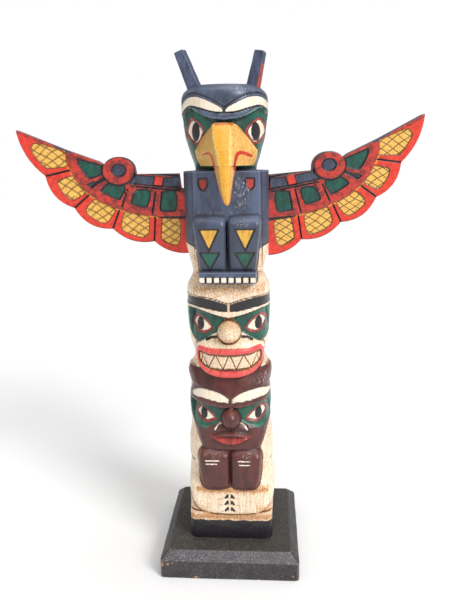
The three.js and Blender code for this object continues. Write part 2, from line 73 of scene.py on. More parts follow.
def closed_surface(name, grid, marks, flip=False, crease=35):
    """A closed mesh through grid[i, j], in mm: the point at station i along the piece and step j round it.
    Neighbours are joined by quads, the last step joins the first, and a fan to its middle closes each end.
    It holds the marks and the bulge of every point."""
    marks = {**marks, "bulge": bulge(grid)}
    if flip:
        grid = grid[:, ::-1]
        marks = {title: field[:, ::-1] for title, field in marks.items()}
    stations, steps = grid.shape[:2]
    points = np.concatenate([grid.reshape(-1, 3), grid[:1].mean(1), grid[-1:].mean(1)]) * MM
    here = np.arange(stations * steps).reshape(stations, steps)
    beside = np.roll(here, -1, axis=1)
    quads = np.stack([here[:-1], beside[:-1], beside[1:], here[1:]], -1).reshape(-1, 4)
    start = np.stack([beside[0], here[0], np.full(steps, stations * steps)], -1)
    end = np.stack([here[-1], beside[-1], np.full(steps, stations * steps + 1)], -1)
    corners = np.concatenate([quads.ravel(), start.ravel(), end.ravel()]).astype(np.int32)
    firsts = np.concatenate([np.arange(len(quads)) * 4, len(quads) * 4 + np.arange(2 * steps) * 3])
    mesh = bpy.data.meshes.new(name)
    mesh.vertices.add(len(points))
    mesh.vertices.foreach_set("co", points.astype(np.float32).ravel())
    mesh.loops.add(len(corners))
    mesh.loops.foreach_set("vertex_index", corners)
    mesh.polygons.add(len(firsts))
    mesh.polygons.foreach_set("loop_start", firsts.astype(np.int32))
    mesh.update(calc_edges=True)
    mesh.shade_smooth()
    mesh.set_sharp_from_angle(angle=math.radians(crease))
    for title, field in marks.items():
        values = np.append(field.ravel(), [field[0].mean(), field[-1].mean()]).astype(np.float32)
        mesh.attributes.new(title, 'FLOAT', 'POINT').data.foreach_set("value", values)
    piece = bpy.data.objects.new(name, mesh)
    bpy.context.scene.collection.objects.link(piece)
    return piece


def lumps(x, y, z, size, seed):
    """Soft random lumps between about -1 and 1: a sum of six slanting waves of about that size."""
    chance = np.random.default_rng(seed)
    total = 0
    for direction, phase in zip(chance.normal(size=(6, 3)), chance.uniform(0, 7, 6)):
        direction = direction / np.linalg.norm(direction) * 2 * math.pi / size * chance.uniform(0.7, 1.4)
        total = total + np.sin(x * direction[0] + y * direction[1] + z * direction[2] + phase)
    return total / 3.5


def add(tree, kind, inputs=None, **settings):
    """A shader node, with its settings, and each input joined to a socket or set to a value."""
    made = tree.nodes.new(kind)
    for setting, value in settings.items():
        setattr(made, setting, value)
    for key, value in (inputs or {}).items():
        if isinstance(value, bpy.types.NodeSocket):
            tree.links.new(value, made.inputs[key])
        else:
            made.inputs[key].default_value = value
    return made


def plus(tree, first, second):
    """The sum of two values."""
    return add(tree, "ShaderNodeMath", {0: first, 1: second}, operation='ADD').outputs[0]


def times(tree, first, second, clamp=False):
    """The product of two values, held between zero and one where it is clamped."""
    made = add(tree, "ShaderNodeMath", {0: first, 1: second}, operation='MULTIPLY', use_clamp=clamp)
    return made.outputs[0]


def step_up(tree, value, low, high):
    """Zero below low, one above high, and a smooth slope between."""
    made = add(tree, "ShaderNodeMapRange", {0: value, 1: low, 2: high}, interpolation_type='SMOOTHSTEP')
    return made.outputs[0]


def as_paint(value):
    """A colour socket as it is, or three screen numbers as a colour."""
    return value if isinstance(value, bpy.types.NodeSocket) else colour(value)


def over(tree, mask, under, top, share=None):
    """The top colour over the one under it where the mask is one, thinned to the share if one is given."""
    mask = mask if share is None else times(tree, mask, share)
    colours = {0: mask, 6: as_paint(under), 7: as_paint(top)}
    return add(tree, "ShaderNodeMix", colours, data_type='RGBA').outputs[2]


def noise(tree, size, detail=2.0, roughness=0.5, stretch=(1, 1, 1)):
    """Noise between 0 and 1, fixed to the piece, with lumps of this size in mm over each axis's stretch:
    a stretch below one draws them out."""
    place = add(tree, "ShaderNodeTexCoord").outputs["Object"]
    scale = [1000 * part for part in stretch]
    place = add(tree, "ShaderNodeVectorMath", {0: place, 1: scale}, operation='MULTIPLY').outputs[0]
    made = add(tree, "ShaderNodeTexNoise", {
        "Vector": place, "Scale": 1 / size, "Detail": detail, "Roughness": roughness})
    return made.outputs[0]


def patches(tree, size, low, high, detail=2.0, roughness=0.5):
    """A mask of patches of about the size, in mm, where such noise passes from low to high."""
    return step_up(tree, noise(tree, size, detail, roughness), low, high)


def mark(tree, title):
    """The value that the mesh holds under this title at each point."""
    return add(tree, "ShaderNodeAttribute", attribute_name=title).outputs["Fac"]


def facing(tree):
    """The X, Y and Z of the surface's normal."""
    normal = add(tree, "ShaderNodeNewGeometry").outputs["Normal"]
    return add(tree, "ShaderNodeSeparateXYZ", {0: normal}).outputs


def effect(name, inputs, outputs):
    """A new node group with these inputs, given as {name: default}, and outputs, given as {name: kind}."""
    group = bpy.data.node_groups.new(name, 'ShaderNodeTree')
    for title, default in inputs.items():
        kind = 'NodeSocketColor' if isinstance(default, tuple) else 'NodeSocketFloat'
        group.interface.new_socket(title, in_out='INPUT', socket_type=kind).default_value = default
    for title, kind in outputs.items():
        group.interface.new_socket(title, in_out='OUTPUT', socket_type='NodeSocket' + kind)
    return group, add(group, "NodeGroupInput").outputs, add(group, "NodeGroupOutput").inputs


def use(tree, group, inputs):
    """The outputs of a new node that runs the group on these inputs."""
    return add(tree, "ShaderNodeGroup", inputs, node_tree=group).outputs


def new_material(name, rgb, roughness, sheen, sheen_roughness=0.38):
    """A material whose one shader has this even gloss, and its node tree."""
    material = bpy.data.materials.new(name)
    material.use_nodes = True
    material.diffuse_color = colour(rgb)
    shader = material.node_tree.nodes["Principled BSDF"]
    shader.inputs["Roughness"].default_value = roughness
    shader.inputs["Coat Weight"].default_value = sheen
    shader.inputs["Coat Roughness"].default_value = sheen_roughness
    shader.inputs["Specular IOR Level"].default_value = 0.4
    return material, material.node_tree


# The carver's brush: fine streaks along the grain of the wood under the paint, and small pits
brush, given, result = effect(
    "Brushed wood", {"Strength": 0.5}, {"Streaks": 'Float', "Pits": 'Float', "Normal": 'Vector'})
streaks = noise(brush, 1.1, 3, 0.6, (1, 1, 0.06))
pits = noise(brush, 0.9, 3, 0.65)
surface = plus(brush, plus(brush, times(brush, streaks, 0.5), times(brush, pits, 0.35)), noise(brush, 7, 1))
bumped = add(brush, "ShaderNodeBump", {"Strength": given["Strength"], "Distance": 0.0005, "Height": surface})
for title, socket in (("Streaks", streaks), ("Pits", pits), ("Normal", bumped.outputs[0])):
    brush.links.new(socket, result[title])

# Wear: outer edges rubbed down to the wood or the undercoat, where the brush left the paint thin
rubbed, given, result = effect(
    "Rubbed edges", {"Paint": (1, 1, 1, 1), "Under": (1, 1, 1, 1), "Bulge": 0.0, "From": 0.1, "To": 0.3},
    {"Colour": 'Color'})
thin = times(rubbed, given["Bulge"], times(rubbed, noise(rubbed, 2.2, 3, 0.7), 2.0))
thin = add(rubbed, "ShaderNodeMapRange", {0: thin, 1: given["From"], 2: given["To"]}).outputs[0]
rubbed.links.new(over(rubbed, thin, given["Paint"], given["Under"]), result["Colour"])


def worn_to(tree, paint, under, low, high):
    """The paint, rubbed through to the one under it as the surface bulges from low to high."""
    worn = use(tree, rubbed, {
        "Paint": paint, "Under": colour(under), "Bulge": mark(tree, "bulge"), "From": low, "To": high})
    return worn["Colour"]


def join_shader(tree, paint, wood):
    """Gives the tree's shader the paint's colour and the brushed wood's normal."""
    shader = tree.nodes["Principled BSDF"]
    tree.links.new(paint, shader.inputs["Base Color"])
    tree.links.new(wood["Normal"], shader.inputs["Normal"])


# The board's outline, a square with slightly rounded corners
SIDE_STEPS, SQUARENESS = 90, 44
side, ones = np.linspace(-1, 1, SIDE_STEPS, endpoint=False), np.ones(SIDE_STEPS)
square = np.concatenate([
    np.stack([side, -ones], -1), np.stack([ones, side], -1), np.stack([-side, ones], -1),
    np.stack([-ones, -side], -1),
])
square *= (np.abs(square) ** SQUARENESS).sum(-1, keepdims=True) ** (-1 / SQUARENESS)

# Its profile, from the middle of the underside round to the middle of the top: the inset from the side, and
# the height
profile = np.concatenate([
    [[40, 0], [20, 0], [5, 0], [1, 0], [0.25, 0.2], [0, 0.9]],
    np.stack([np.zeros(22), np.linspace(1.6, BASE_RIM - 0.9, 22)], -1),
    [[0.1, BASE_RIM - 0.35], [0.6, BASE_RIM + 0.2]],
    np.stack([np.linspace(1.3, CHAMFER_WIDTH - 0.9, 9), np.linspace(BASE_RIM + 1, BASE_HEIGHT - 0.9, 9)], -1),
    [[CHAMFER_WIDTH - 0.3, BASE_HEIGHT - 0.3], [CHAMFER_WIDTH + 0.5, BASE_HEIGHT]],
    np.stack([np.linspace(10, 66, 24), np.full(24, BASE_HEIGHT)], -1),
])
inset, level = profile[:, :1], profile[:, 1:]
base_x, base_y = square[None, :, 0] * (BASE_HALF - inset), square[None, :, 1] * (BASE_HALF - inset)
base_z = level + 0 * base_x
edge = np.exp(-((base_z - BASE_RIM) / 1.6) ** 2) + np.exp(-(base_z / 1.4) ** 2)
chips = np.clip(lumps(base_x, base_y, base_z, 7, 3) - 0.75, 0, 1) * edge
shrink = 1 - (chips * 1.6 + 0.12 * np.clip(1 + lumps(base_x, base_y, base_z, 30, 4), 0, 2)) / BASE_HALF
base_grid = np.stack([base_x * shrink, base_y * shrink, base_z], -1)
# Bare spots on the front: sideways, up, half width and half height
spots = np.zeros_like(base_x)
for spot_x, spot_z, wide, tall in [
        (-66.6, 14.6, 2.2, 3.4), (-61, 15.4, 1.2, 1.6), (-56, 16.6, 1.6, 1.0), (-33, 1.6, 2.6, 1.6),
        (60, 5.4, 0.5, 1.8), (62.2, 5.2, 0.5, 2.0), (64.6, 4.4, 0.7, 2.6), (34, 5.6, 0.8, 1.2)]:
    near = 1 - np.hypot((base_x - spot_x) / wide, (base_z - spot_z) / tall)
    spots = np.maximum(spots, np.where(base_y < -BASE_HALF + 2, near, 0))
base = closed_surface("base_board", base_grid, {"bare": np.maximum(spots, chips * 2 - 0.3)}, crease=28)

material, tree = new_material("Charcoal paint", CHARCOAL, 0.5, 0.15)
wood = use(tree, brush, {"Strength": 0.45})
way = facing(tree)
paint = over(tree, patches(tree, 16, 0.35, 0.7, 3), CHARCOAL, (64, 60, 58))
# Painted light: the faces that turn up are painted lighter, as if lit from above
paint = over(tree, step_up(tree, way["Z"], 0.7, 0.95), paint, (70, 68, 60), 0.6)
paint = over(tree, step_up(tree, wood["Streaks"], 0.45, 0.7), paint, (34, 30, 36), 0.5)
slope = times(tree, step_up(tree, way["Z"], 0.3, 0.6), step_up(tree, times(tree, way["Y"], -1.0), 0.3, 0.6))
dusty = times(tree, slope, patches(tree, 1.3, 0.44, 0.6, 4, 0.8))
paint = over(tree, dusty, paint, CHARCOAL_DUST, 0.75)
paint = over(tree, slope, paint, (112, 106, 116), 0.22)
settled = plus(tree, noise(tree, 0.75, 2, 0.7), times(tree, noise(tree, 9, 2), 0.12))
grit = step_up(tree, plus(tree, settled, times(tree, slope, 0.05)), 0.685, 0.74)
paint = over(tree, grit, paint, (196, 190, 186), 0.8)
paint = worn_to(tree, paint, (126, 116, 108), 0.28, 0.7)
ragged = plus(tree, mark(tree, "bare"), plus(tree, noise(tree, 1.2, 3, 0.7), -0.62))
grain = over(tree, step_up(tree, wood["Streaks"], 0.35, 0.65), BARE_WOOD, (170, 116, 74))
join_shader(tree, over(tree, step_up(tree, ragged, 0.12, 0.3), paint, grain), wood)
base.data.materials.append(material)
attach(base, "root")
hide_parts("base")

# Pole
# One log of pale softwood, carved by hand into an eagle, a cream bear and a brown bear, standing on a square
# block. It is painted by brush and antiqued with brown stain. The eyes, bands and lines are cut before they
# are painted.
LEAN = math.tan(math.radians(-0.36))
FOOT_ASIDE = 0.5
FACE_ASIDE = 2.0
FOOT, CROWN = 26.5, 466.5
BLUE = (82, 96, 124)
BLUE_DARK = (56, 62, 80)
GREEN = (24, 100, 82)
GREEN_DARK = (14, 60, 48)
CREAM = (255, 241, 216)
STAIN = (214, 140, 60)
STAIN_DARK = (96, 56, 28)
BROWN = (96, 42, 36)
BROWN_DARK = (68, 28, 26)
CORAL = (246, 98, 92)
YELLOW = (240, 188, 76)
INK = (22, 19, 24)

# Height, half width, front depth, back depth and squareness of the log
girths = np.array([
    [26.5, 41.8, 39.3, 38, 12], [55, 41.8, 39.3, 38, 12], [55.6, 42.4, 39, 38, 6], [84, 42.8, 39, 38, 5],
    [92, 43, 37, 38, 3.6], [99, 42.6, 36, 38, 3.2], [104.5, 41.4, 35.4, 37.5, 3.2], [110, 42.8, 36, 38, 3.2],
    [128, 42.6, 36.5, 38, 3], [142, 40.2, 37.8, 37.5, 2.7], [166, 41.3, 40, 37.5, 2.5],
    [178, 40.6, 40, 37.5, 2.5], [187, 39.4, 38, 37, 2.5], [198, 40.8, 34, 36.5, 2.5], [204, 38.8, 33, 36, 2.4],
    [209, 35.6, 33, 35, 2.4], [216, 34.1, 35, 34.5, 2.4], [223, 36.9, 37, 35, 2.4], [234, 39.4, 38.3, 36.3, 2.4],
    [272, 41.3, 39.5, 37, 2.5], [283, 40.7, 38.5, 37, 2.5], [288, 38, 36.5, 36, 2.5],
    [296, 33.8, 31, 34, 2.5], [304, 35.4, 29, 34, 2.5], [320, 39.6, 26, 35.5, 2.8], [326, 40.3, 26, 36, 3],
    [392, 40.3, 26, 36, 3], [392.6, 28.5, 27, 34, 2.2], [397, 29.4, 34, 34.5, 2.1], [408, 33.2, 37, 35.5, 2.1],
    [423, 38, 40, 37, 2.1], [438, 40.1, 42, 38, 2.1], [455, 40.2, 42, 38, 2.1], [460, 39.2, 41, 37.5, 2.1],
    [464, 36.2, 38.5, 35, 2.1], [466.5, 31.5, 33, 30, 2.2],
])
jaw_girths = np.array([
    [196, 31, 39, 20, 2.5], [200, 34.5, 42.6, 20, 2.5], [207, 36.6, 44.6, 20, 2.5], [228, 38.5, 45, 20, 2.5],
    [234, 39, 43, 20, 2.5], [242, 39, 38.5, 20, 2.5],
])
STEPS = [(26.5, 55), (55.6, 392), (392.6, 466.5)]


def ramp(value, low, high):
    """Zero below low, one above high, and the smooth cubic between."""
    t = np.clip((value - low) / (high - low), 0, 1)
    return t * t * (3 - 2 * t)


def girth_at(z, table, spans=((0, 500),), ease=2.5):
    """The table's values at each height, joined by straight lines and averaged over a few mm of height, but
    never across the ends of a span."""
    lowest, highest = table[0, 0], table[-1, 0]
    low, high = np.full_like(z, lowest), np.full_like(z, highest)
    for start, end in spans:
        in_span = (z >= start - 1e-6) & (z <= end + 1e-6)
        low = np.where(in_span, max(start, lowest), low)
        high = np.where(in_span, min(end, highest), high)
    spread = [np.clip(z + shift, low, high) for shift in np.linspace(-ease, ease, 5)]
    return [np.mean([np.interp(near, table[:, 0], table[:, k]) for near in spread], 0) for k in range(1, 5)]


def section(turn, half, front, back, power):
    """The point of a rounded rectangle in the direction turn from the front, where the sum of each part of
    the direction over the half size, to the power, is one."""
    depth = np.where(np.cos(turn) > 0, front, back)
    reach = (np.abs(np.sin(turn) / half) ** power + np.abs(np.cos(turn) / depth) ** power) ** (-1 / power)
    return reach * np.sin(turn), -reach * np.cos(turn)


def surface_y(x, half, front, power):
    """Where that rounded rectangle's front is at x."""
    across = np.clip(np.abs(x) / half, 0, 1)
    return -front * (1 - across ** power) ** (1 / power)


def curve(points, steps=6):
    """A smooth line through the points: between each two, the cubic whose slope at a point is that of the
    line between its neighbours."""
    p = np.asarray(points, float)
    p = np.vstack([2 * p[0] - p[1], p, 2 * p[-1] - p[-2]])
    a, b, c, d = p[:-3, None], p[1:-2, None], p[2:-1, None], p[3:, None]
    t = np.linspace(0, 1, steps, endpoint=False)[None, :, None]
    line = 0.5 * (
        2 * b + (c - a) * t + (2 * a - 5 * b + 4 * c - d) * t ** 2 + (3 * b - a - 3 * c + d) * t ** 3)
    return np.vstack([line.reshape(-1, 2), p[-2]])


def to_line(x, z, line):
    """Distance to a line of straight pieces: the least of the distances to the nearest point of each."""
    nearest = np.full(np.broadcast(x, z).shape, 1e3)
    for (x1, z1), (x2, z2) in zip(line[:-1], line[1:]):
        dx, dz = x2 - x1, z2 - z1
        along = np.clip(((x - x1) * dx + (z - z1) * dz) / (dx * dx + dz * dz + 1e-9), 0, 1)
        nearest = np.minimum(nearest, np.hypot(x - x1 - along * dx, z - z1 - along * dz))
    return nearest


def inside(x, z, outline):
    """Distance to a closed outline, above zero inside it, where a ray to one side crosses it an odd number
    of times, and below zero outside."""
    closed = np.vstack([outline, outline[:1]])
    odd = np.zeros(np.broadcast(x, z).shape, bool)
    for (x1, z1), (x2, z2) in zip(closed[:-1], closed[1:]):
        crossing = x1 + (x2 - x1) * (z - z1) / (z2 - z1 + 1e-9)
        odd ^= ((z1 > z) != (z2 > z)) & (x < crossing)
    return np.where(odd, 1, -1) * to_line(x, z, closed)


def ellipse(x, z, middle_x, middle_z, wide, tall):
    """Roughly the distance to an ellipse's edge, above zero inside it."""
    return (1 - np.hypot((x - middle_x) / wide, (z - middle_z) / tall)) * min(wide, tall)


# The pattern of the carving, right half, in mm: sideways from its middle line, and up from the floor
brow_groove = curve([[0, 446.3], [11, 453.4], [21, 457.7], [29, 459.4], [35, 458], [41, 453], [50, 444]])
low_groove = curve([
    [-6, 441.6], [0, 441.4], [11, 442.6], [22, 446], [31, 448.4], [37, 446], [42, 441], [50, 430]])
brow_band = np.vstack([
    curve([
        [1.3, 444.2], [4, 446.6], [11, 450.3], [21, 454.8], [29, 456.2], [35, 454.6], [41, 449.6], [50, 440]]),
    curve([[50, 431], [42, 442], [37, 447], [31, 449.4], [22, 447], [11, 443.6], [1.6, 442.5]])])
eagle_lens = np.vstack([
    curve([[-6, 441.6], [0, 441.4], [11, 442.6], [22, 446], [29, 448], [34, 447.4]]),
    curve([[27, 446.4], [21, 442], [15, 438.5], [9, 436.4], [0, 435.4], [-6, 435.6]])])
eagle_face = np.vstack([
    curve([[-6, 435.6], [0, 435.4], [9, 436.4], [15, 438.5], [21, 442], [27, 446.2], [34, 447.2]]),
    [[42, 440], [50, 432], [50, 394], [-6, 394]]])
breast = np.array([[-9, 300], [31, 300], [31, 392.5], [-9, 392.5]])
breast_inset = curve([[25.5, 386], [25.4, 379], [21.3, 374.5], [17.2, 379], [17, 386]])
eagle_leg = np.vstack([
    [[0.7, 300], [26, 300]],
    curve([[28.5, 322], [31.2, 343], [30.4, 350], [24, 353.2], [8, 353], [2.4, 350.4], [0.7, 345]])])
bear_fold = curve([[0, 271], [15, 275.6], [28, 277], [44, 277.6]])
bear_band = np.vstack([
    curve([[1.2, 270], [10, 272.8], [20, 275], [30, 276], [47, 275.6]]),
    curve([[47, 268.2], [30, 267], [20, 265.6], [10, 263.8], [1.2, 263]])])
bear_ridge = curve([[-6, 257], [0, 257], [10, 259.3], [23, 263.3], [31, 264.8], [39, 264.4]])
bear_face = np.vstack([
    bear_ridge,
    curve([
        [39.2, 262], [39, 250], [37.4, 239], [34, 233.4], [29.5, 232.6], [23, 236], [17, 240.2], [10, 243.6]]),
    [[-6, 243.6]]])
bear_green = np.vstack([
    curve([[5.6, 257.6], [14, 259.4], [24, 262.4], [33, 264.2], [39, 264.6], [52, 265]]),
    curve([[52, 250], [44, 246.4], [39, 241], [34.6, 234], [29.5, 232.6], [23, 236], [17, 240.2], [11, 243.4]]),
    [[8, 250], [4, 255.6]]])
lips_outside = curve([
    [-6, 230.6], [0, 230.6], [18, 231.2], [28, 232.4], [32.2, 230], [33, 223], [30.8, 210.5], [23.5, 202.6],
    [9.5, 198.4], [0, 198], [-6, 198]])
lips_inside = curve([
    [-6, 222.3], [0, 222.3], [19, 223], [28, 224.6], [30, 221], [28.6, 213], [19.5, 207.2], [8, 206], [0, 206],
    [-6, 206]])
brown_front = np.vstack([
    [[-9, 208], [26, 205]], [[34, 203.8], [41.5, 203.4], [43.5, 198.5]],
    curve([
        [40, 192], [38.8, 187], [40.5, 180], [44, 174], [44, 166], [41, 156], [37.5, 147], [33, 135],
        [28.6, 124], [27, 118]]),
    [[-9, 118]]])
brown_band = np.vstack([
    curve([[1.1, 176.2], [6, 180], [13, 183.1], [22, 184.7], [30, 184.6], [36, 181.6], [39.6, 177.4]]),
    curve([[38, 174.9], [27, 175.9], [14.5, 173.9], [1.1, 172.4]])])
brown_ridge = curve([[-6, 166.6], [0, 166.8], [9, 167.6], [24.8, 170], [37, 171], [41, 170.6]])
brown_face = np.vstack([
    brown_ridge,
    curve([
        [41, 166], [40, 156], [37, 148.6], [32, 145], [27, 144.8], [21.8, 146.6], [15, 150.6], [10.5, 153.4]]),
    [[-6, 153.4]]])
brown_green = np.vstack([
    curve([[4, 167], [14, 168.2], [24.8, 170], [33, 171], [39.4, 173], [52, 175]]),
    curve([[52, 158], [42, 154.6], [37, 148.6], [30.4, 145.2], [25, 145.4], [19, 148.4], [11, 152.8]]),
    [[8.6, 158], [5, 164.4]]])
brown_cheek = np.array([[-9, 149], [15, 149], [36, 147], [34, 138], [27, 121], [-9, 121]])
brown_lips = np.vstack([
    curve([[20.6, 137.2], [14, 141.2], [7, 143.6], [0, 144], [-6, 143.6]]),
    curve([[-6, 128.8], [0, 128.6], [10, 130.6], [20.6, 137.2]])])
brown_leg = np.vstack([
    curve([
        [0.7, 87], [9, 84.8], [21, 84.8], [26.6, 87.4], [29, 94], [30.6, 106], [31, 118], [27.8, 126],
        [18, 128.4], [6, 127.6], [0.7, 122.6]])])
shoe_sole = curve([[-9, 53.4], [0, 54], [18, 54.6], [29, 56.2], [36, 60.5], [40, 66], [42.5, 74], [44, 90]])
foot_face = np.vstack([shoe_sole, [[44, 104.4], [-9, 104.4]]])
cap_horn = np.array([[30, 187], [42, 188], [47, 204], [35, 203.6]])

ROWS, FRONT_STEPS, BACK_STEPS = 430, 172, 48
height = np.unique(np.concatenate([
    np.linspace(FOOT, CROWN, ROWS), [55, 55.6, 290.9, 291.5, 301.8, 302.3, 392, 392.6]]))[:, None]
turn = np.radians(np.concatenate([
    np.linspace(-90, 90, FRONT_STEPS, endpoint=False),
    np.linspace(90, 270, BACK_STEPS, endpoint=False)]))[None]
half, front, back, power = girth_at(height, girths, STEPS)
half_jaw, front_jaw, _, power_jaw = girth_at(height, jaw_girths)


def pattern_place(x, y):
    """Sideways from the carving's middle line, and on round the back past the log's side."""
    return np.where(y > 0, np.sign(x) * (half + y), x) - FACE_ASIDE


def groove(distance, width, depth):
    """A V-shaped cut along a line."""
    return -depth * np.clip(1 - distance / (width / 2), 0, 1)


def carved(x):
    """How far the surface stands out from the plain log, in mm: sockets sloping down under the brows, ridges,
    sunk bands and grooves, worked from their outlines on the pattern."""
    ax, z = np.abs(x), height
    level = 0.16 * lumps(x, 0, z, 17, 8) + 0.07 * lumps(x, 0, z, 6, 9)
    to_side = 1 - 0.75 * ramp(ax, 30, 40)
    level -= 5 * np.clip((z - 408) / 30, 0, 1) * ramp(inside(ax, z, eagle_face), -0.4, 0.5) * to_side
    level -= 4.5 * np.clip((z - 234) / 24, 0, 1) * ramp(inside(ax, z, bear_face), -0.4, 0.7)
    level -= 4.5 * np.clip((z - 146) / 20, 0, 1) * ramp(inside(ax, z, brown_face), -0.4, 0.7)
    level += ramp(inside(ax, z, eagle_lens), -0.3, 1.6) + 1.6 * ramp(inside(ax, z, cap_horn), -0.5, 1.5)
    level += 2.3 * ramp(inside(ax, z, foot_face), -0.3, 1.2) * (1 - ramp(z, 80, 103))
    for band in (bear_band, brown_band):
        level -= 0.8 * ramp(inside(ax, z, band), -0.3, 0.3)
    for line, width, depth in ((brow_groove, 1.7, 1.2), (low_groove, 1.7, 1.0), (bear_fold, 1.3, 0.8)):
        level += groove(to_line(ax, z, line), width, depth)
    return level


plain_x, plain_y = section(turn, half, front, back, power)
level = carved(pattern_place(plain_x, plain_y))
for _ in range(2):
    x, y = section(turn, half + level, front + level, back + level, power)
    level = carved(pattern_place(x, y))
place = pattern_place(x, y)
ax, z = np.abs(place), height + 0 * place
is_front = ramp(-y, 0, 3)


def stand_out(field, target, soft=0.35):
    """Brings the surface forward to the target depth where the field is above zero."""
    mask = ramp(field, -soft, soft) * is_front
    return y + mask * (np.minimum(y, target) - y)


def sink_in(field, depth, soft=0.3):
    """Sets the surface back by a depth where the field is above zero."""
    return y + depth * ramp(field, -soft, soft) * is_front


def cushion(field, roll):
    """How far a rounded edge falls back: a quarter circle of this radius inside the outline."""
    short = np.clip(1 - field / roll, 0, 1)
    return roll * (1 - np.sqrt(1 - short ** 2))


def within(outline):
    """The distance to an outline on both halves of the pole, above zero inside it."""
    return inside(ax, z, outline)


def shared(*fields):
    """The distance to the edge of what lies inside every field: the least of them."""
    return np.min(np.broadcast_arrays(*fields), 0)


# The eagle's breast, legs and claws
CLAW_WIDTH = 6.7
y = stand_out(within(breast), surface_y(x, half + 8, front + 8, power))
chest = within(breast_inset)
y = sink_in(chest, 1.0)
leg = within(eagle_leg)
knee = 7 * np.clip((z - 342) / 11, 0, 1) ** 2
y = stand_out(leg, -42 + cushion(leg, 5.5) + 1.6 * ramp(z, 322, 300) + knee, 0.3)
yellow_mark = within([[7.2, 340.6], [25.6, 340.6], [16.6, 321]])
green_mark = within([[7, 319.2], [25.2, 319.2], [16.2, 302.8]])
y = sink_in(np.maximum(yellow_mark, green_mark), 0.8)
slab = within([[-9, 291], [26.8, 291], [26.8, 302.1], [-9, 302.1]])
y = stand_out(slab, -46.5 + cushion(slab, 1.2), 0.2)
claw_gap = 0.9 - np.abs((place / CLAW_WIDTH + 0.5) % 1 - 0.5) * CLAW_WIDTH
claw_gap = shared(claw_gap, 297.6 - z, slab + 0.6)
y = sink_in(claw_gap, 2.4)

# The cream bear's lips, sunken mouth and the zigzag between its teeth
jaw = within(lips_outside)
mouth = within(lips_inside)
muzzle = surface_y(x, half_jaw, front_jaw, power_jaw)
y = stand_out(jaw, muzzle + cushion(jaw, 3.6) * 0.8, 0.4)
y = sink_in(mouth, 3.0, 0.5)
lip = np.minimum(jaw - 2.2 * ramp(z, 224, 228), -mouth)
y = y - 1.6 * (1 - np.clip(1 - lip / 3.2, 0, 1) ** 2) * ramp(lip, 0, 0.6) * is_front
zigzag = to_line(ax, z, [[0.6, 221.6], [6.4, 207], [13.4, 221.8], [20.6, 208.4], [26.6, 222.4]])
zigzag = np.minimum(zigzag, to_line(ax, z, [[26, 219.6], [27.6, 213.6]]))
zigzag = np.where(mouth > 0, zigzag, 9)
y = sink_in(0.7 - zigzag, 0.7)


def ball(middle_z, wide, tall, front_depth, behind):
    """The front of an egg-shaped nose at each point: a half circle in depth over its ellipse."""
    across = np.clip(1 - (place / wide) ** 2 - ((z - middle_z) / tall) ** 2, 0, 1)
    return -behind - (front_depth - behind) * np.sqrt(across)


# Both bears' noses, the brown bear's lips and its folded legs
LEGS_ASIDE = 1.6
snout = within([[-9, 246], [9, 246], [13, 240], [27, 234.6], [31, 229], [-9, 229]])
y = stand_out(snout, muzzle + 0.28 * np.clip(z - 229.5, 0, 20), 1.2)
cream_nose = ellipse(place, z, 0.1, 243.8, 11.2, 10.8)
y = stand_out(cream_nose, ball(243.8, 11.3, 11, 52, 35), 0.5)
brown_nose = ellipse(place, z, 0.2, 155.6, 9.3, 11)
y = y - 2.3 * ramp(within(brown_cheek), -0.5, 3) * is_front
y = stand_out(brown_nose, ball(155.6, 9.5, 11.2, 49, 35), 0.2)
almond = within(brown_lips)
parting = np.abs(z - 137.6 - 0.5 * (1 - (place / 17) ** 2))
y = y - 4.2 * ramp(almond, -0.2, 2.4) * is_front
y = y + 1.6 * np.clip(1 - parting / 1.6, 0, 1) * ramp(almond, 0, 2) * is_front
leg_ax = np.abs(place + LEGS_ASIDE)
bear_leg = inside(leg_ax, z + 3, brown_leg)
bent = 8 * np.clip((z - 113) / 12, 0, 1) ** 2
y = stand_out(bear_leg, -44 + cushion(bear_leg, 5.5) + bent, 0.3)


def bowed(corners, bow, steps=5):
    """A closed outline with pointed corners, listed clockwise: each side is a parabola that swells out from
    the straight line to the next corner by this share of its length."""
    start = np.array(corners, float)
    run = np.roll(start, -1, axis=0) - start
    out = np.stack([-run[:, 1], run[:, 0]], -1)
    t = np.linspace(0, 1, steps, endpoint=False)[None, :, None]
    return (start[:, None] + run[:, None] * t + out[:, None] * 4 * bow * t * (1 - t)).reshape(-1, 2)


def eye(corners, pupil_x, pupil_z, wide, tall):
    """The eye's outline and its pupil: distances, above zero inside."""
    return inside(ax, z, bowed(corners, 0.1)), ellipse(ax, z, pupil_x, pupil_z, wide, tall)


eyes = [
    eye([[30.8, 438.8], [36.4, 427], [25.8, 415.4], [18.2, 427.2]], 26.8, 426.6, 4.0, 8.2),
    eye([[30, 258.2], [35.4, 250.8], [26.4, 241.6], [15, 246.8]], 27.6, 249.6, 3.5, 6.0),
    eye([[29.8, 166], [35, 159.4], [25.4, 151.6], [14.4, 155.4]], 26.6, 158.8, 3.4, 5.6),
]
for rim, pupil in eyes:
    y = y + (groove(np.abs(rim - 1.4), 2.0, -0.9) + 0.5 * ramp(rim, 0, 1)) * is_front

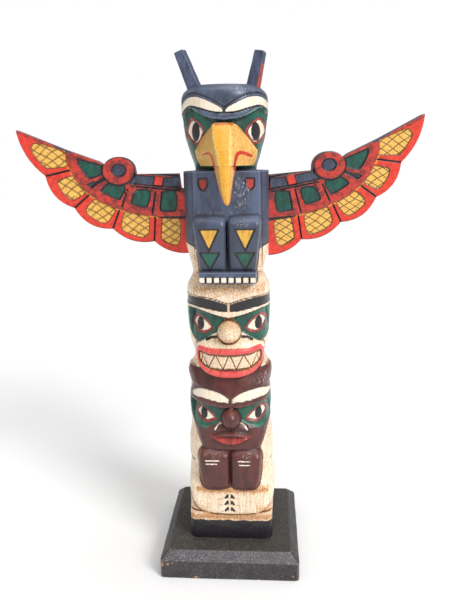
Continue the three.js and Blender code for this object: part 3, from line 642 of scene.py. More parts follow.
# Nostrils, and three rows of cut marks with stained sprigs on the feet
MARKS_ASIDE = 2.8
nostril = to_line(ax, z, [[12.4, 238.8], [17, 238.4], [21.6, 235.6]])
y = sink_in(1.3 - nostril, 0.9)
flare = to_line(ax, z, [[10, 151.2], [13.4, 148.6], [16, 144.2]])
y = sink_in(1.7 - flare, 0.9)
foot_ax = np.abs(place + MARKS_ASIDE)
above_sole = within(foot_face)
drops, sprigs = np.full_like(z, -9.0), np.full_like(z, 9.0)
drop = [[0.9, 2.6], [2.8, 2.4], [5.4, -1.2], [4.4, -2.6], [2.2, -1.2], [0.9, -2]]
for row_z, outer in ((73.4, 13), (66.4, 15), (59.4, 9)):
    drops = np.maximum(drops, inside(foot_ax, z - row_z, drop))
    sprigs = np.minimum(sprigs, to_line(foot_ax, z - row_z, [[4.6, -1.6], [outer, -2.6]]))
y = sink_in(drops, 0.8)
tick = to_line(ax, z, [[38.6, 106.4], [48, 109.4]])


def middle_at(z):
    """How far the leaning log's middle line stands aside at this height of the pattern."""
    return FOOT_ASIDE + (z + JOINT - BASE_HEIGHT) * LEAN


pole_grid = np.stack([x + middle_at(z), y, z + JOINT], -1)

# Which paint lies where: the distance to its edge in mm, above zero inside it
titles = ("blue", "green", "cream", "brown", "red", "coral", "yellow", "ink")
paints = {title: np.full_like(z, -9.0) for title in titles}


def coat(title, field, only_front=True):
    """Adds what lies inside the field to the paint: the greater of the two distances."""
    limit = -y + 4 if only_front else field
    paints[title] = np.maximum(paints[title], np.minimum(field, limit))


def scrape(title, field):
    """Takes what lies inside the field on the front away from the paint."""
    paints[title] = np.minimum(paints[title], -np.minimum(field, -y + 4))


shoulder = z - 321.5 - 0.45 * np.clip(ax - 30, 0, 12)
coat("blue", z - 392.3, False)
coat("blue", np.minimum(shoulder, 393 - z), False)
coat("blue", np.maximum(np.maximum(leg, slab) + 0.5, shared(1.5 - ax, z - 300, 353 - z)))
coat("brown", within(brown_front))
coat("brown", bear_leg + 0.5)
coat("green", np.minimum(within(eagle_face), 47 - ax))
coat("green", within(bear_green))
coat("green", within(brown_green))
scrape("green", np.maximum(cream_nose, brown_nose) + 0.4)
coat("green", green_mark - 0.6)
coat("yellow", yellow_mark - 0.6)
coat("cream", np.minimum(within(brow_band), 46 - ax))
coat("cream", np.minimum(within(brown_band), 42 - ax))
coat("cream", shared(slab - 0.9, 297 - z, z - 292.6))
coat("cream", 0.9 - flare)
for left, right, stripe_z in (
        (6.4, 19, 113.4), (7.4, 18.4, 109.4), (-26.2, -11.8, 113.8), (-25.6, -13.6, 110.2)):
    coat("cream", shared(0.62 - np.abs(z - stripe_z), place - left, right - place))
coat("red", np.minimum(chest - 0.8, 12.0))
coat("coral", lip)
coat("red", np.minimum(almond, np.where(z > 139.2, -0.4, 9)))
for rim, pupil in eyes:
    coat("cream", rim - 1)
    coat("red", np.minimum(rim + 0.6, 1.2 - rim))
    coat("ink", 0.32 - np.abs(rim - 1.4 - 0.25 * lumps(x, y, z, 4, 14)))
    coat("ink", 0.3 - np.abs(rim + 0.7))
    coat("ink", pupil)
    scrape("brown", rim)
for line, width in ((brow_groove, 0.62), (low_groove, 0.7), (np.array([[0, 446.3], [0, 441.4]]), 0.5)):
    coat("ink", np.minimum(width - to_line(ax, z, line), 44 - ax))
coat("ink", 0.8 - np.abs(chest - 0.2))
coat("ink", 0.9 - np.abs(yellow_mark))
coat("ink", 0.9 - np.abs(green_mark))
coat("ink", np.minimum(claw_gap, 297 - z))
coat("ink", np.minimum(within(bear_band), 47 - ax))
coat("ink", 1.15 - nostril)
coat("ink", 0.36 - np.abs(within(brown_band)))
coat("ink", np.minimum(0.5 - np.abs(flare - 1.5), 149.5 - z))
coat("ink", 0.8 - np.minimum(ax, 9) + np.where((z > 172) & (z < 176.6), 0, -9))
coat("ink", np.minimum(0.4 - parting, almond - 0.6))
coat("ink", np.where((place < -31) & (z < 74), 1.0, -9) - np.abs(above_sole))
coat("ink", drops)
coat("ink", shared(1.3 - ax, z - 302, 347 - z))
coat("ink", np.minimum(0.9 - np.abs(shoulder), ax - 31))
coat("ink", 2.0 - 0.1 * np.clip(46 - ax, 0, 9) - tick)
coat("ink", 46.4 + 0.5 * lumps(x, y, 0, 9, 5) - z, False)
stain_line = np.minimum(to_line(ax, z, bear_fold) - 0.45, np.abs(within(bear_band) + 0.2) - 0.2)
stain_line = shared(stain_line, zigzag - 0.15, sprigs - 0.2)
stain_line = np.where(y < 4, stain_line, 9)


def band(middle, spread):
    """A soft band round the pole: the bell curve of the height over the spread."""
    return np.exp(-((z - middle) / spread) ** 2)


# Where brown stain was left in the hollows and stippled on the cream paint: under the legs and the nose, in
# and round the mouth, round the knees and the feet, and in the pole's waists
dirt = 0.9 * band(284, 6) * (ax < 34) * is_front
dirt += 0.22 * ramp(mouth, -0.5, 1.0) * is_front + 1.0 * np.exp(-(mouth / 1.7) ** 2) * (mouth > 0)
dirt += 1.5 * band(81, 3.4) * (ax < 36) * is_front + 0.7 * band(61, 5) * (ax > 24)
dirt += 1.4 * band(50, 3.6) + 0.8 * np.exp(-np.clip(-bear_leg, 0, 30) / 3) * (z < 132) * is_front
dirt += 0.6 * band(235.5, 4) * (ax < 24) * is_front
dirt += (0.5 * ramp(cream_nose, -3, 0) * ramp(z, 240, 252) + 0.35 * (cream_nose > 0)) * is_front
dirt += 0.55 * ramp(z, 126, 132) * ramp(z, 152, 140)
dirt += 0.5 * ramp(z, 226, 218) * ramp(z, 200, 206) * (mouth < 0)
dirt += 0.5 * ramp(z, 292, 297) * ramp(z, 322, 314)
dirt += 0.7 * np.exp(-(above_sole / 2.4) ** 2) * (z < 76)

# Painted highlights: pale glints speckled over the glossy paint where it catches the light, on the breast, the
# upper edges of the knees and of the crown, and the right side of the brown cap
painted_glint = np.minimum(1.5 - np.abs(z - 354.6), 29 - ax)
for middle_x, middle_z, wide, tall in ((13, 372, 9, 17), (31, 193, 9, 6), (14, 346, 11, 5), (15, 462, 12, 4)):
    painted_glint = np.maximum(painted_glint, ellipse(place, z, middle_x, middle_z, wide, tall))
painted_glint = np.maximum(painted_glint, ellipse(leg_ax, z, 16, 120, 11, 5))

# Where the blue is painted darker: painted shade down the legs and on the recessed columns beside the breast,
# and darker paint on top of the crown
shade_and_dark_blue = 0.75 * ramp(leg, -0.5, 1) * ramp(z, 347, 341) + 0.4 * ramp(ax, 31, 33) * (z < 392.3)
shade_and_dark_blue = shade_and_dark_blue + 0.6 * ramp(z, 462, 466) + 0.35 * np.exp(-(place / 9) ** 2) * ramp(z, 446, 456)
pole = closed_surface("carved_pole", pole_grid, {
    **paints, "stain_line": -stain_line, "dirt": dirt, "painted_glint": painted_glint, "shade_and_dark_blue": shade_and_dark_blue}, crease=40)

# A coat of paint, put on by brush up to a slightly ragged edge
coat_on, given, result = effect(
    "Coat of paint", {"Under": (1, 1, 1, 1), "Coat": (1, 1, 1, 1), "Distance": 0.0}, {"Colour": 'Color'})
ragged = times(coat_on, plus(coat_on, noise(coat_on, 1.6, 2), -0.5), 0.9)
covered = step_up(coat_on, plus(coat_on, given["Distance"], ragged), -0.22, 0.22)
coat_on.links.new(over(coat_on, covered, given["Under"], given["Coat"]), result["Colour"])

# Antiqued cream: streaks along the grain, and brown stippling that thickens where there is more dirt
antique, given, result = effect("Antiqued cream", {"Dirt": 0.0, "Streaks": 0.5}, {"Colour": 'Color'})
tone = over(antique, step_up(antique, given["Streaks"], 0.42, 0.66), CREAM, (236, 204, 164))
amount = times(antique, given["Dirt"], 0.17)
stipple = plus(antique, noise(antique, 1.0, 2, 0.6, (1, 1, 0.8)), amount)
tone = over(antique, step_up(antique, stipple, 0.57, 0.7), tone, STAIN, 0.85)
specks = plus(antique, noise(antique, 0.85, 1), times(antique, amount, 0.7))
tone = over(antique, step_up(antique, specks, 0.7, 0.78), tone, STAIN_DARK, 0.8)
antique.links.new(tone, result["Colour"])


def painted(tree, under, title, paint):
    """The paint over what is under it, inside the edge that the mesh marks with this title."""
    coats = {"Under": under, "Coat": as_paint(paint), "Distance": mark(tree, title)}
    return use(tree, coat_on, coats)["Colour"]


def two_tone(tree, light, dark, size):
    """A brushed colour that drifts between two tones."""
    return over(tree, step_up(tree, noise(tree, size, 3, 0.6, (1, 1, 0.35)), 0.35, 0.7), light, dark)


material, tree = new_material("Pole paint", CREAM, 0.44, 0.55, 0.3)
wood = use(tree, brush, {"Strength": 0.4})
hollow = times(tree, mark(tree, "bulge"), -3.0, clamp=True)
dirt = plus(tree, mark(tree, "dirt"), times(tree, hollow, 1.6))
paint = use(tree, antique, {"Dirt": dirt, "Streaks": wood["Streaks"]})["Colour"]
paint = over(tree, step_up(tree, mark(tree, "stain_line"), -0.35, 0.15), paint, (104, 58, 26), 0.85)
# Painted light from above: faces that turn up take a pale copy of each paint, the same pale colour that rubbed
# edges wear through to
lit_from_above = step_up(tree, facing(tree)["Z"], 0.1, 0.8)
for title, light, dark, pale_wear_and_top_light, size in (
        ("brown", BROWN, BROWN_DARK, (128, 74, 64), 9), ("blue", BLUE, BLUE_DARK, (108, 118, 144), 11),
        ("green", GREEN, GREEN_DARK, (104, 148, 132), 9)):
    layer = over(tree, lit_from_above, two_tone(tree, light, dark, size), pale_wear_and_top_light, 0.45)
    if title == "blue":
        # Painted shade on the legs and the recessed columns, and the darker blue of the crown
        layer = over(tree, mark(tree, "shade_and_dark_blue"), layer, (58, 62, 76), 0.8)
    paint = painted(tree, paint, title, worn_to(tree, layer, pale_wear_and_top_light, 0.3, 1.1))
pale = over(tree, step_up(tree, wood["Streaks"], 0.48, 0.78), (255, 243, 222), (240, 200, 150))
paint = painted(tree, paint, "cream", pale)
for title, light, dark in (
        ("coral", CORAL, (218, 66, 66)), ("red", (192, 58, 46), (122, 38, 34)),
        ("yellow", YELLOW, (206, 148, 52)), ("ink", (32, 28, 34), INK)):
    paint = painted(tree, paint, title, two_tone(tree, light, dark, 3.5))
# Painted highlights: pale glints speckled where the mesh marks them
speckle = step_up(tree, noise(tree, 1.5, 3, 0.75, (1, 1, 0.6)), 0.52, 0.7)
glinting = times(tree, speckle, step_up(tree, mark(tree, "painted_glint"), -1.5, 3.5))
paint = over(tree, glinting, paint, (206, 204, 208), 0.7)
# Painted shade: the hollows darkened towards blackish brown
paint = over(tree, step_up(tree, hollow, 0.35, 1.0), paint, (30, 20, 16), 0.5)
join_shader(tree, paint, wood)
pole.data.materials.append(material)
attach(pole, "root")
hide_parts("pole")

# Beak
# The eagle's hooked beak is a separate block of wood: a faceted wedge over the face, scribed to it and glued,
# and a hook that hangs clear of the breast. It is yellow, speckled with ochre, with a red line for the mouth.
TIP_ASIDE = 2.2
HOOK_ROWS, BEAK_ROWS = 90, 110
EDGE_STEPS = [8, 18, 8, 8, 8, 8, 18, 8]

# Height, half width, how far forward the side corners are, the front facet's half width, how far forward the
# facet is, and how far forward the hook's back is
beak_cheeks = np.array([
    [396.8, 24.8, 22, 5.4, 62], [403, 27.4, 23.2, 5.9, 60.4], [410, 28.4, 25, 6.6, 58.5],
    [421, 20.2, 33, 7.8, 53],
    [428, 14.2, 35.6, 8, 49], [431.5, 11, 37, 7.8, 46.2], [433.4, 6.6, 38, 5.6, 44.6]])
beak_hook = np.array([
    [363.4, 1.4, 60.5, 0.8, 62, 59.5], [365, 2.6, 60.2, 1.5, 63.4, 58], [367, 3.4, 60, 2, 64, 57],
    [375, 5.2, 58, 3, 65, 53], [384, 7, 55, 3.8, 64.4, 49], [397, 10, 49, 4.8, 62, 42]])


def softened(ring, axis, rounds):
    """A closed ring with eased corners: half of each point and a quarter of each neighbour are added up."""
    for _ in range(rounds):
        ring = (np.roll(ring, 1, axis=axis) + 2 * ring + np.roll(ring, -1, axis=axis)) / 4
    return ring


def beak_ring(z, wide, cheek_y, facet, front_y, back_y, drift, ridge_x):
    """Eight corners at each height, from the front round to the right, joined by straight edges."""
    corners = np.stack([np.stack(corner, -1) for corner in (
        (ridge_x, -front_y), (ridge_x + facet, 1.0 - front_y), (wide, -cheek_y), (wide, -back_y),
        (0 * z, -back_y), (-wide, -back_y), (-wide, -cheek_y), (ridge_x - facet, 1.0 - front_y))], 1)
    run = np.roll(corners, -1, axis=1) - corners
    ring = np.concatenate([
        corners[:, k, None] + run[:, k, None] * np.linspace(0, 1, steps, endpoint=False)[None, :, None]
        for k, steps in enumerate(EDGE_STEPS)], 1)
    ring = softened(ring, 1, 2) + np.stack([drift, 0 * z], -1)[:, None]
    return np.concatenate([ring, np.repeat(z[:, None, None], ring.shape[1], 1)], -1)


def tip_aside(z):
    """How far the hook bends aside: the square of the way down it."""
    return TIP_ASIDE * (np.clip(400 - z, 0, None) / 36.6) ** 2


hook_z = np.linspace(363.4, 396.7, HOOK_ROWS)
hook = [np.interp(hook_z, beak_hook[:, 0], beak_hook[:, k]) for k in range(1, 6)]
hook_ridge = np.interp(hook_z, [363, 397], [0.0, 0.8])
cheek_z = np.linspace(396.8, 433.4, BEAK_ROWS)
wedge = [np.interp(cheek_z, beak_cheeks[:, 0], beak_cheeks[:, k]) for k in range(1, 5)]
cheek_ridge = np.interp(cheek_z, [397, 403, 434], [0.8, 0.2, -3.2])
half_there, front_there, _, power_there = girth_at(cheek_z[:, None], girths, STEPS)
beak_points = np.concatenate([
    beak_ring(hook_z, *hook, tip_aside(hook_z), hook_ridge),
    beak_ring(cheek_z, *wedge, 0 * cheek_z + 18, 0 * cheek_z, cheek_ridge)])
bx, by, bz = beak_points[..., 0], beak_points[..., 1], beak_points[..., 2]
scribed = surface_y((bx + FACE_ASIDE)[HOOK_ROWS:], half_there, front_there, power_there) + 0.6
by[HOOK_ROWS:] = np.minimum(by[HOOK_ROWS:], scribed)
knifed = 1 + 0.006 * lumps(bx, by, bz, 9, 12)
beak_grid = np.stack([bx * knifed + FACE_ASIDE + middle_at(bz), by, bz + JOINT], -1)
hook_edge = np.hypot(
    np.abs(bx - tip_aside(bz)) - np.interp(bz, beak_hook[:, 0], beak_hook[:, 1]),
    by + np.interp(bz, beak_hook[:, 0], beak_hook[:, 2]))
mouth_left = curve([[-19.6, 406.6], [-14.2, 407.8], [-11, 404.6], [-9.3, 399], [-8.6, 394]])
mouth_right = curve([[22.6, 405], [17.2, 407.4], [12.4, 407.6], [10.3, 403.4], [9.2, 398], [8.8, 394]])
lip_line = np.where(bz < 398, 1.25 - hook_edge, -9)
lip_line = np.maximum(lip_line, 0.75 - to_line(bx, bz, mouth_left))
mouth_half = np.where(bx > 0, 1.0 + 0.5 * ramp(bz, 400, 406), -9)
lip_line = np.maximum(lip_line, mouth_half - to_line(bx, bz, mouth_right))
facet_half = np.concatenate([hook[2], wedge[2]])[:, None]
off_ridge = bx - np.concatenate([hook_ridge + tip_aside(hook_z), cheek_ridge])[:, None]
seam = shared(bz - 431.4 + 0.1 * np.abs(bx), 8 - np.abs(bx + 0.5), -by - 30)
beak = closed_surface("hooked_beak", beak_grid, {
    "mouth_line": lip_line, "facet": facet_half - np.abs(off_ridge), "seam": seam, "sided": off_ridge,
}, crease=24)

material, tree = new_material("Beak paint", YELLOW, 0.4, 0.4)
wood = use(tree, brush, {"Strength": 0.35})
grain = step_up(tree, wood["Streaks"], 0.38, 0.66)
# Painted light: the beak's left planes are painted darker, as in shade, and its right planes lighter, as lit
shaded_left_plane = over(tree, grain, (232, 184, 94), (196, 150, 74))
lit_right_plane = over(tree, grain, (250, 200, 112), (220, 152, 66))
lit_and_shaded_planes = over(tree, step_up(tree, mark(tree, "sided"), -1.0, 1.0), shaded_left_plane, lit_right_plane)
ridge = over(tree, patches(tree, 1.2, 0.5, 0.68, 2, 0.6), (244, 180, 60), (216, 140, 36))
on_ridge = plus(tree, mark(tree, "facet"), times(tree, wood["Pits"], 0.8))
paint = over(tree, step_up(tree, on_ridge, -0.1, 1.6), lit_and_shaded_planes, ridge)
paint = over(tree, patches(tree, 0.95, 0.68, 0.74, 1), paint, (150, 92, 26), 0.6)
# Painted shade: the beak's hollows darkened to ochre
paint = over(tree, times(tree, mark(tree, "bulge"), -3.0, clamp=True), paint, (150, 82, 24))
paint = worn_to(tree, paint, (255, 226, 150), 0.12, 0.5)
paint = over(tree, step_up(tree, mark(tree, "seam"), -0.4, 0.5), paint, (196, 104, 22), 0.85)
paint = painted(tree, paint, "mouth_line", two_tone(tree, (224, 60, 44), (150, 34, 30), 3))
join_shader(tree, paint, wood)
beak.data.materials.append(material)
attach(beak, "root")
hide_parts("beak")

# Ears
# Two small tapered plates, sawn and rounded with a knife, painted blue-grey and glued to the crown. The right
# one has a strip of the wings' red showing down its outer side.
EAR_HALF, EAR_DEPTH = 4.7, 4.0
EAR_OUT, EAR_FRONT, EAR_FOOT = 25.5, 12, 462
EAR_TURN = 15
material, tree = new_material("Ear paint", BLUE, 0.46, 0.3)
wood = use(tree, brush, {"Strength": 0.5})
paint = two_tone(tree, (84, 96, 126), (56, 62, 82), 5)
paint = over(tree, patches(tree, 0.7, 0.56, 0.72, 3, 0.75), paint, (150, 148, 160), 0.45)
paint = worn_to(tree, paint, (178, 174, 180), 0.1, 0.5)
paint = painted(tree, paint, "red_strip", two_tone(tree, (188, 78, 66), (140, 52, 46), 4))
join_shader(tree, paint, wood)

# Side, length and lean outward in degrees
for side, length, lean in ((-1, 38, 21.5), (1, 35, 12.6)):
    ear_z = [np.linspace(-4, length - 0.9, 60), [length - 0.4, length - 0.1, length]]
    ear_z = np.concatenate(ear_z)[:, None]
    grow = np.interp(ear_z, [-6, length / 2, length], [1.34, 1.12, 1.0])
    grow = grow - 0.05 * (ear_z > length - 0.5) - 0.1 * (ear_z > length - 0.2)
    corners = np.array([[0, -1], [1, -1], [1.1, 1], [0, 1], [-1, 1], [-0.9, -1]]) * [EAR_HALF, EAR_DEPTH]
    ring = np.concatenate([start + (end - start) * np.linspace(0, 1, 14, endpoint=False)[:, None]
                           for start, end in zip(corners, np.roll(corners, -1, axis=0))])
    ring = softened(ring, 0, 3)
    flat_x, flat_y = ring[None, :, 0] * grow, ring[None, :, 1] * (1 + 0 * grow)
    knifed = 1 + 0.014 * lumps(flat_x, flat_y, ear_z, 8, 20 + side)
    tall = ear_z + 0 * flat_x + 0.05 * side * flat_x * (ear_z > 30)
    turned = Matrix.Rotation(-math.radians(EAR_TURN), 3, 'Z')
    turned = np.array(Matrix.Rotation(math.radians(side * lean), 3, 'Y') @ turned)
    seat = np.array([side * EAR_OUT + middle_at(EAR_FOOT), -EAR_FRONT, EAR_FOOT + JOINT])
    ear_grid = np.stack([flat_x * knifed, flat_y * knifed, tall], -1) @ turned.T + seat
    strip = shared(flat_x - 4.3 - 0.02 * ear_z, 25 - ear_z, 3.2 - flat_y) if side > 0 else 0 * flat_x - 9
    name = "ear_plate_left" if side < 0 else "ear_plate_right"
    ear = closed_surface(name, ear_grid, {"red_strip": strip}, crease=40)
    ear.data.materials.append(material)
    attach(ear, "root")
    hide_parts("ear_left" if side < 0 else "ear_right")

# Wings
# Two boards sawn to a scalloped outline, carved in low relief on the front alone and glued to flat seats down
# the pole's sides: five feathers with cross-hatched yellow panels, an upper tier with green ones, and a ring.
RED = (228, 62, 40)
WING_THICK = 10.0
WING_SPREAD = 155.1
WING_SET_BACK = 4.0

# The boards start this far from the log's middle line. Above the strip's bottom they are notched, so they
# start no nearer than this to their own zero.
SEAT_OUT = 39.5
STRIP_BOTTOM, STRIP_ROOT = -15.2, 2.5

# The corners between the feathers' ends, from the wing's tip to its root, and the points on the edge of the
# upper tier where the cuts between the feathers end. The hem swells out between its corners by these heights.
cusps = np.array([[155.1, 48.5], [131.7, 4], [106.9, -27.8], [71.3, -50], [31.5, -64.4], [0.8, -77.9]])
inners = np.array([[110, 27.7], [107.2, 8.5], [90.9, -15.5], [63, -31.5], [28.7, -40.3], [0.8, -43.2]])
swells = [5, 6.3, 6.6, 5.6, 3.4]
hem = [cusps[:1]]
for start, end, swell in zip(cusps[:-1], cusps[1:], swells):
    t = np.linspace(0, 1, 25)[1:, None]
    out = np.array([start[1] - end[1], end[0] - start[0]]) / np.hypot(*(end - start))
    hem.append(start + (end - start) * t + 4 * swell * t * (1 - t) * out)
hem = np.vstack([*hem, [[-8, -77.9]]])[::-1]
top_edge = np.array([[-8, -0.3], [STRIP_ROOT, -0.3], [60, 2], [80, 15.5], [110, 27.7], [WING_SPREAD, 48.5]])
wing_outline = np.vstack([top_edge, hem[::-1]])
tier_arc = curve(inners, 5)
tier_outline = np.vstack([tier_arc, [[-8, -43.2], [-8, -0.3], [STRIP_ROOT, -0.3], [60, 2], [80, 15.5]]])
RING_AT, RING_WIDE, RING_TALL = (60.3, 5.3), 15.6, 13.2
feather_panels = [
    [[139.5, 35.2], [142.6, 29.6], [137, 19.5], [131, 12.6], [124, 11.2], [107.6, 12.9], [108, 20],
     [112, 26.6], [124, 31.6], [133, 34.8]],
    [[102.5, 4], [93.4, -10.8], [103.4, -18.6], [108.5, -20], [115, -14.5], [120.3, -4.5], [119, -0.6],
     [111, 1.8]],
    [[83.8, -18.6], [67.4, -29.2], [71.8, -38.8], [77.4, -43.8], [84, -42.3], [94, -35], [95.6, -30.4],
     [92.5, -25.5]],
    [[57, -32.6], [36.3, -37.9], [36.5, -56], [43.5, -59.8], [57.5, -54.4], [62.3, -49.4], [61, -40]],
    [[21.8, -41.2], [5.8, -43.6], [5.4, -60], [8, -68.4], [14, -68.6], [23.6, -63.4], [24, -54.8]],
]
green_panels = [
    [[98.6, 19], [98, 13], [92.4, 3.2], [88, -0.3], [76.6, 3.6], [75.8, 10], [78, 12]],
    [[70.5, -5.3], [78, -11], [77.3, -14.4], [64, -21.4], [60.4, -20.2], [55.4, -9.4]],
    [[46, -13.4], [50.6, -24.4], [48.5, -27.6], [38, -30.4], [34.8, -28.4], [31.6, -15]],
    [[20.6, -16.8], [23, -32.2], [21.6, -34.9], [10.8, -35.9], [7.5, -33.2], [6.9, -17.2]],
]
blue_panels = [
    [[46, 0.6], [26, -2.2], [28.4, -10.2], [50, -7]], [[17, -3.3], [2.4, -3.8], [1.4, -12.9], [19.4, -11.5]],
    [[91.6, -6.4], [87.4, -9.4], [82.6, -5.6], [85.6, -3.2]],
]
tier_cuts = [
    [[-6, -15.2], [1, -14.4], [47.5, -7.6]], [[-6, -17.6], [1, -16.6], [49, -9.8]],
    [[-6, -3.6], [2, -2.6], [42, 2.1], [50, 3.4]], [[88.6, -8.9], [73, -1.2]], [[53, -12.2], [60, -28.8]],
    [[26, -15.4], [31.2, -37.4]], [[86, -6.2], [72, 1.4]], [[-6, -42.4], [21, -41.2]],
]
stations, front_steps, back_steps, rim_steps = 372, 148, 30, 3
along = np.linspace(0, 154.6, stations)[:, None]
round_t = np.concatenate([
    np.linspace(0, 1, front_steps), np.ones(rim_steps), np.linspace(1, 0, back_steps),
    np.zeros(rim_steps)])[None]
rim_w = np.linspace(0, -WING_THICK, rim_steps + 2)[1:-1]
nominal_w = np.concatenate([
    np.zeros(front_steps), rim_w, np.full(back_steps, -WING_THICK), rim_w[::-1]])[None]
is_face = nominal_w == 0


def wing_top(u):
    """The higher of the board's top edge and the ring's upper half."""
    inside_ring = np.clip(1 - ((u - RING_AT[0]) / RING_WIDE) ** 2, 0, 1)
    ring_top = np.where(inside_ring > 0, RING_AT[1] + RING_TALL * np.sqrt(inside_ring), -99)
    return np.maximum(np.interp(u, top_edge[:, 0], top_edge[:, 1]), ring_top)


def across_board(u):
    """The height on the board of each step from its top edge down to its hem, or back up."""
    return wing_top(u) * (1 - round_t) + np.interp(u, hem[:, 0], hem[:, 1]) * round_t


def rounded(corners, steps):
    """The smooth closed outline through the corners."""
    return curve(corners + corners[:1], steps)[:-1]


def on_face(field):
    """The field on the carved face, and nothing on the rim and back."""
    return np.where(is_face, field, -9)


material, tree = new_material("Wing paint", RED, 0.42, 0.35)
wood = use(tree, brush, {"Strength": 0.5})
hollow = times(tree, mark(tree, "bulge"), -4.0, clamp=True)
blue_grey = two_tone(tree, (72, 80, 104), (48, 52, 68), 8)
blue_grey = over(tree, patches(tree, 0.9, 0.6, 0.72, 3, 0.7), blue_grey, (150, 152, 166), 0.7)
bright = over(tree, patches(tree, 4, 0.4, 0.7, 3, 0.65), (236, 64, 42), (204, 44, 36))
bright = over(tree, patches(tree, 1.1, 0.62, 0.74, 2, 0.7), bright, (255, 128, 96), 0.5)
dull = over(tree, patches(tree, 6, 0.42, 0.6, 3, 0.7), (206, 58, 44), (134, 46, 42))
dull = over(tree, patches(tree, 1.3, 0.6, 0.72, 3, 0.7), dull, (92, 66, 76), 0.4)
straw = over(tree, patches(tree, 1.5, 0.46, 0.66, 3, 0.7), (250, 198, 94), (222, 154, 54))
straw = over(tree, patches(tree, 0.8, 0.62, 0.72), straw, (255, 232, 178), 0.55)
# Painted shade: the yellow darkened to ochre in the hollows
straw = over(tree, hollow, straw, (176, 116, 30), 0.6)
paint = painted(tree, blue_grey, "face", bright)
paint = painted(tree, paint, "tier", dull)
paint = painted(tree, paint, "gold_line", two_tone(tree, (248, 200, 60), (214, 150, 30), 3))
paint = worn_to(tree, paint, (120, 62, 60), 0.1, 0.45)
paint = painted(tree, paint, "red_bar", bright)
paint = painted(tree, paint, "panel", straw)
paint = over(tree, step_up(tree, mark(tree, "hatch"), -0.3, 0.25), paint, (92, 50, 16), 0.85)
paint = painted(tree, paint, "grey", blue_grey)
paint = painted(tree, paint, "leaf", two_tone(tree, (20, 90, 74), (14, 62, 52), 5))
paint = painted(tree, paint, "ink", (28, 22, 34))
paint = over(tree, patches(tree, 0.7, 0.69, 0.75, 2, 0.6), paint, (216, 204, 196), 0.6)
# Painted shade: the hollows darkened towards black
paint = over(tree, step_up(tree, hollow, 0.3, 1.0), paint, (30, 14, 14), 0.4)
join_shader(tree, paint, wood)

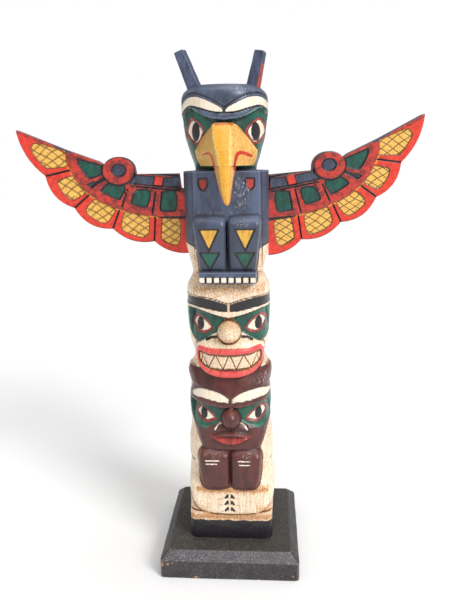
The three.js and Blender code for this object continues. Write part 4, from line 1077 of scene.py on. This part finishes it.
# Side, how far out the board's own zero lies, its tilt and sweep in degrees, and the height of that zero
for side, out, tilt, sweep, root_z in ((-1, 43.3, -2.3, 3, 390.2), (1, 39.0, 2.3, -9, 387.8)):
    spin, swing = math.radians(tilt), math.radians(-side * sweep)
    u, w = along + 0 * round_t, nominal_w + 0 * along
    v = across_board(u)
    for _ in range(3):
        flush = (SEAT_OUT - out + side * v * LEAN - side * w * math.sin(swing)) / math.cos(swing)
        root = (flush + v * math.sin(spin)) / math.cos(spin)
        root = root + (np.maximum(root, STRIP_ROOT) - root) * ramp(v, STRIP_BOTTOM - 0.4, STRIP_BOTTOM + 0.4)
        u = along + root * (1 - along / WING_SPREAD)
        v = across_board(u)
    edge = to_line(u, v, wing_outline)
    in_tier = inside(u, v, tier_outline)
    in_ring = ellipse(u, v, *RING_AT, RING_WIDE, RING_TALL)
    in_eye = ellipse(u, v, RING_AT[0] - 0.5, RING_AT[1] + 0.6, 7, 5.9)
    yellow = np.max([inside(u, v, rounded(corners, 4)) for corners in feather_panels], 0)
    yellow = np.minimum(yellow, -in_tier - 0.2)
    leaf = np.max([inside(u, v, rounded(corners, 3)) for corners in green_panels], 0)
    leaf = np.minimum(leaf, -in_ring - 0.5)
    grey = np.max([inside(u, v, corners) for corners in blue_panels], 0)
    grey = np.minimum(grey, -in_ring - 0.6)
    cuts = np.min([to_line(u, v, line) for line in tier_cuts], 0)
    cuts = np.where(in_ring > -0.3, 9, cuts)
    splits = np.min([to_line(u, v, [cusp + (cusp - inner) * 0.1, inner])
                     for cusp, inner in zip(cusps[1:-1], inners[1:-1])], 0)
    splits = np.where(in_tier > -0.2, 9, splits)
    wave = 1.1 * lumps(u, v, 0 * u, 26, 31 + side)
    hatch = 9 + 0 * u
    for slope, pitch in ((0.72, 6.8), (-0.62, 6.4)):
        across_lines = (v - slope * u) / math.hypot(1, slope) + wave
        hatch = np.minimum(hatch, np.abs((across_lines / pitch) % 1 - 0.5) * pitch)
    hatch = np.where(yellow > 0.2, hatch, 9)
    relief = 0.12 * lumps(u, v, 0 * u, 11, 41 + side)
    relief = relief + 1.5 * ramp(in_tier, -0.25, 0.35)
    relief = relief - 0.5 * np.clip(1 - np.abs(in_tier) / 3, 0, 1) * (in_tier > 0)
    relief = relief - 0.9 * ramp(yellow, -0.2, 0.7) + groove(hatch, 1.3, 0.45) + groove(splits, 1.8, 1.1)
    relief = relief - 0.9 * ramp(leaf, -0.2, 0.6) - 0.5 * ramp(grey, -0.2, 0.6) + groove(cuts, 1.8, 1.0)
    ring_relief = 3.0 - cushion(in_ring, 1.6) * 0.9 - 1.0 * ramp(in_eye, -0.4, 0.8)
    relief = relief + (ring_relief - relief) * ramp(in_ring, -0.2, 0.2)
    relief = relief - cushion(np.where(in_ring > 0, 9, edge), 1.2)
    w = np.where(is_face, np.clip(relief, -2.2, 3.0), w)
    turn_x = side * (u * math.cos(spin) - v * math.sin(spin))
    turn_z = u * math.sin(spin) + v * math.cos(spin)
    wing_x = turn_x * math.cos(swing) + w * math.sin(swing) + middle_at(root_z) + side * out
    wing_y = turn_x * math.sin(swing) - w * math.cos(swing) + WING_SET_BACK
    wing_grid = np.stack([wing_x, wing_y, turn_z + root_z + JOINT], -1)
    below_top = np.interp(u, top_edge[:, 0], top_edge[:, 1]) - v
    tip_dull = np.minimum(u - 106, 3.2 - below_top) + 0.6 * lumps(u, v, 0 * u, 14, 51)
    tip_grey = shared(u - 103, 122 - u, 2.0 - below_top) + 0.4 * lumps(u, v, 0 * u, 9, 52)
    gold_line = np.minimum(0.6 - np.abs(in_tier + 0.6) - 20 * (u < 24), -in_ring - 1)
    red_bar = np.maximum(
        inside(u, v, [[19.6, -3], [25.6, -2.2], [27.6, -10.6], [20.6, -11.8]]),
        inside(u, v, [[-8, -20], [4.6, -20], [4.8, -34], [-8, -36]]) - 30 * (side > 0))
    ink = np.max([
        0.9 - np.abs(leaf - 0.2), 0.7 - np.abs(grey), 0.85 - cuts, 0.85 - splits,
        np.where(u < 26, 0.75 - np.abs(in_tier + 0.2), -9), 0.85 - np.abs(in_ring + 0.4),
        0.85 - np.abs(in_eye - 0.3)], 0)
    name = "carved_wing_left" if side < 0 else "carved_wing_right"
    wing = closed_surface(name, wing_grid, {
        "face": np.where(is_face, 1.5, nominal_w + 0.9) + 0 * u, "gold_line": on_face(gold_line),
        "tier": on_face(np.max([in_tier - 0.8, in_ring, tip_dull], 0)),
        "panel": on_face(yellow), "hatch": on_face(0.42 - np.minimum(hatch, np.abs(yellow - 0.1))),
        "grey": on_face(np.max([grey, in_eye, tip_grey - 0.6], 0)), "leaf": on_face(leaf),
        "red_bar": on_face(red_bar), "ink": on_face(ink)}, flip=side < 0, crease=50)
    wing.data.materials.append(material)
    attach(wing, "root")
    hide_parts("wing_left" if side < 0 else "wing_right")

# Studio
# A plain pale floor under soft light: a large key from the right and above, a fill from the left, and an even
# white surround. The camera stands a little right of the middle and looks down on the pole.
floor_mesh = bpy.data.meshes.new("studio_floor")
floor_mesh.from_pydata([(-6, -6, 0), (6, -6, 0), (6, 6, 0), (-6, 6, 0)], [], [(0, 1, 2, 3)])
floor = bpy.data.objects.new("studio_floor", floor_mesh)
bpy.context.scene.collection.objects.link(floor)
material, tree = new_material("Studio floor", (244, 244, 244), 0.8, 0.0)
tree.nodes["Principled BSDF"].inputs["Base Color"].default_value = colour((254, 254, 254))
floor_mesh.materials.append(material)

world = bpy.data.worlds.new("Studio")
bpy.context.scene.world = world
world.use_nodes = True
backdrop = world.node_tree.nodes["Background"]
backdrop.inputs["Color"].default_value = (1, 1, 1, 1)
seen = add(world.node_tree, "ShaderNodeLightPath").outputs["Is Camera Ray"]
strength = add(world.node_tree, "ShaderNodeMapRange", {0: seen, 3: 0.34, 4: 1.0}).outputs[0]
world.node_tree.links.new(strength, backdrop.inputs["Strength"])
for name, place, strength, spread in (
        ("Key", (0.9, -0.85, 0.85), 1.9, 22), ("Fill", (-0.8, -0.9, 0.3), 0.22, 60),
        ("Top", (0.15, -0.1, 1.0), 1.2, 50)):
    lamp = bpy.data.lights.new(name, 'SUN')
    lamp.energy = strength
    lamp.angle = math.radians(spread)
    light = bpy.data.objects.new(name, lamp)
    light.rotation_euler = (-Vector(place)).to_track_quat('-Z', 'Y').to_euler()
    bpy.context.scene.collection.objects.link(light)

pitch, yaw, roll = 0.2225, -0.0644, 0.0145
forward = Vector((math.sin(yaw) * math.cos(pitch), math.cos(yaw) * math.cos(pitch), -math.sin(pitch)))
level_right = Vector((math.cos(yaw), -math.sin(yaw), 0))
level_down = forward.cross(level_right)
right = math.cos(roll) * level_right + math.sin(roll) * level_down
down = -math.sin(roll) * level_right + math.cos(roll) * level_down
lens = bpy.data.cameras.new("Camera")
lens.lens, lens.sensor_width, lens.sensor_fit = 37.02, 36, 'AUTO'
camera = bpy.data.objects.new("Camera", lens)
axes = Matrix((right, -down, -forward)).transposed().to_4x4()
axes.translation = (0.0381, -0.5977, 0.4017)
camera.matrix_world = axes
bpy.context.scene.collection.objects.link(camera)
bpy.context.scene.camera = camera
bpy.context.scene.view_settings.view_transform = 'Standard'
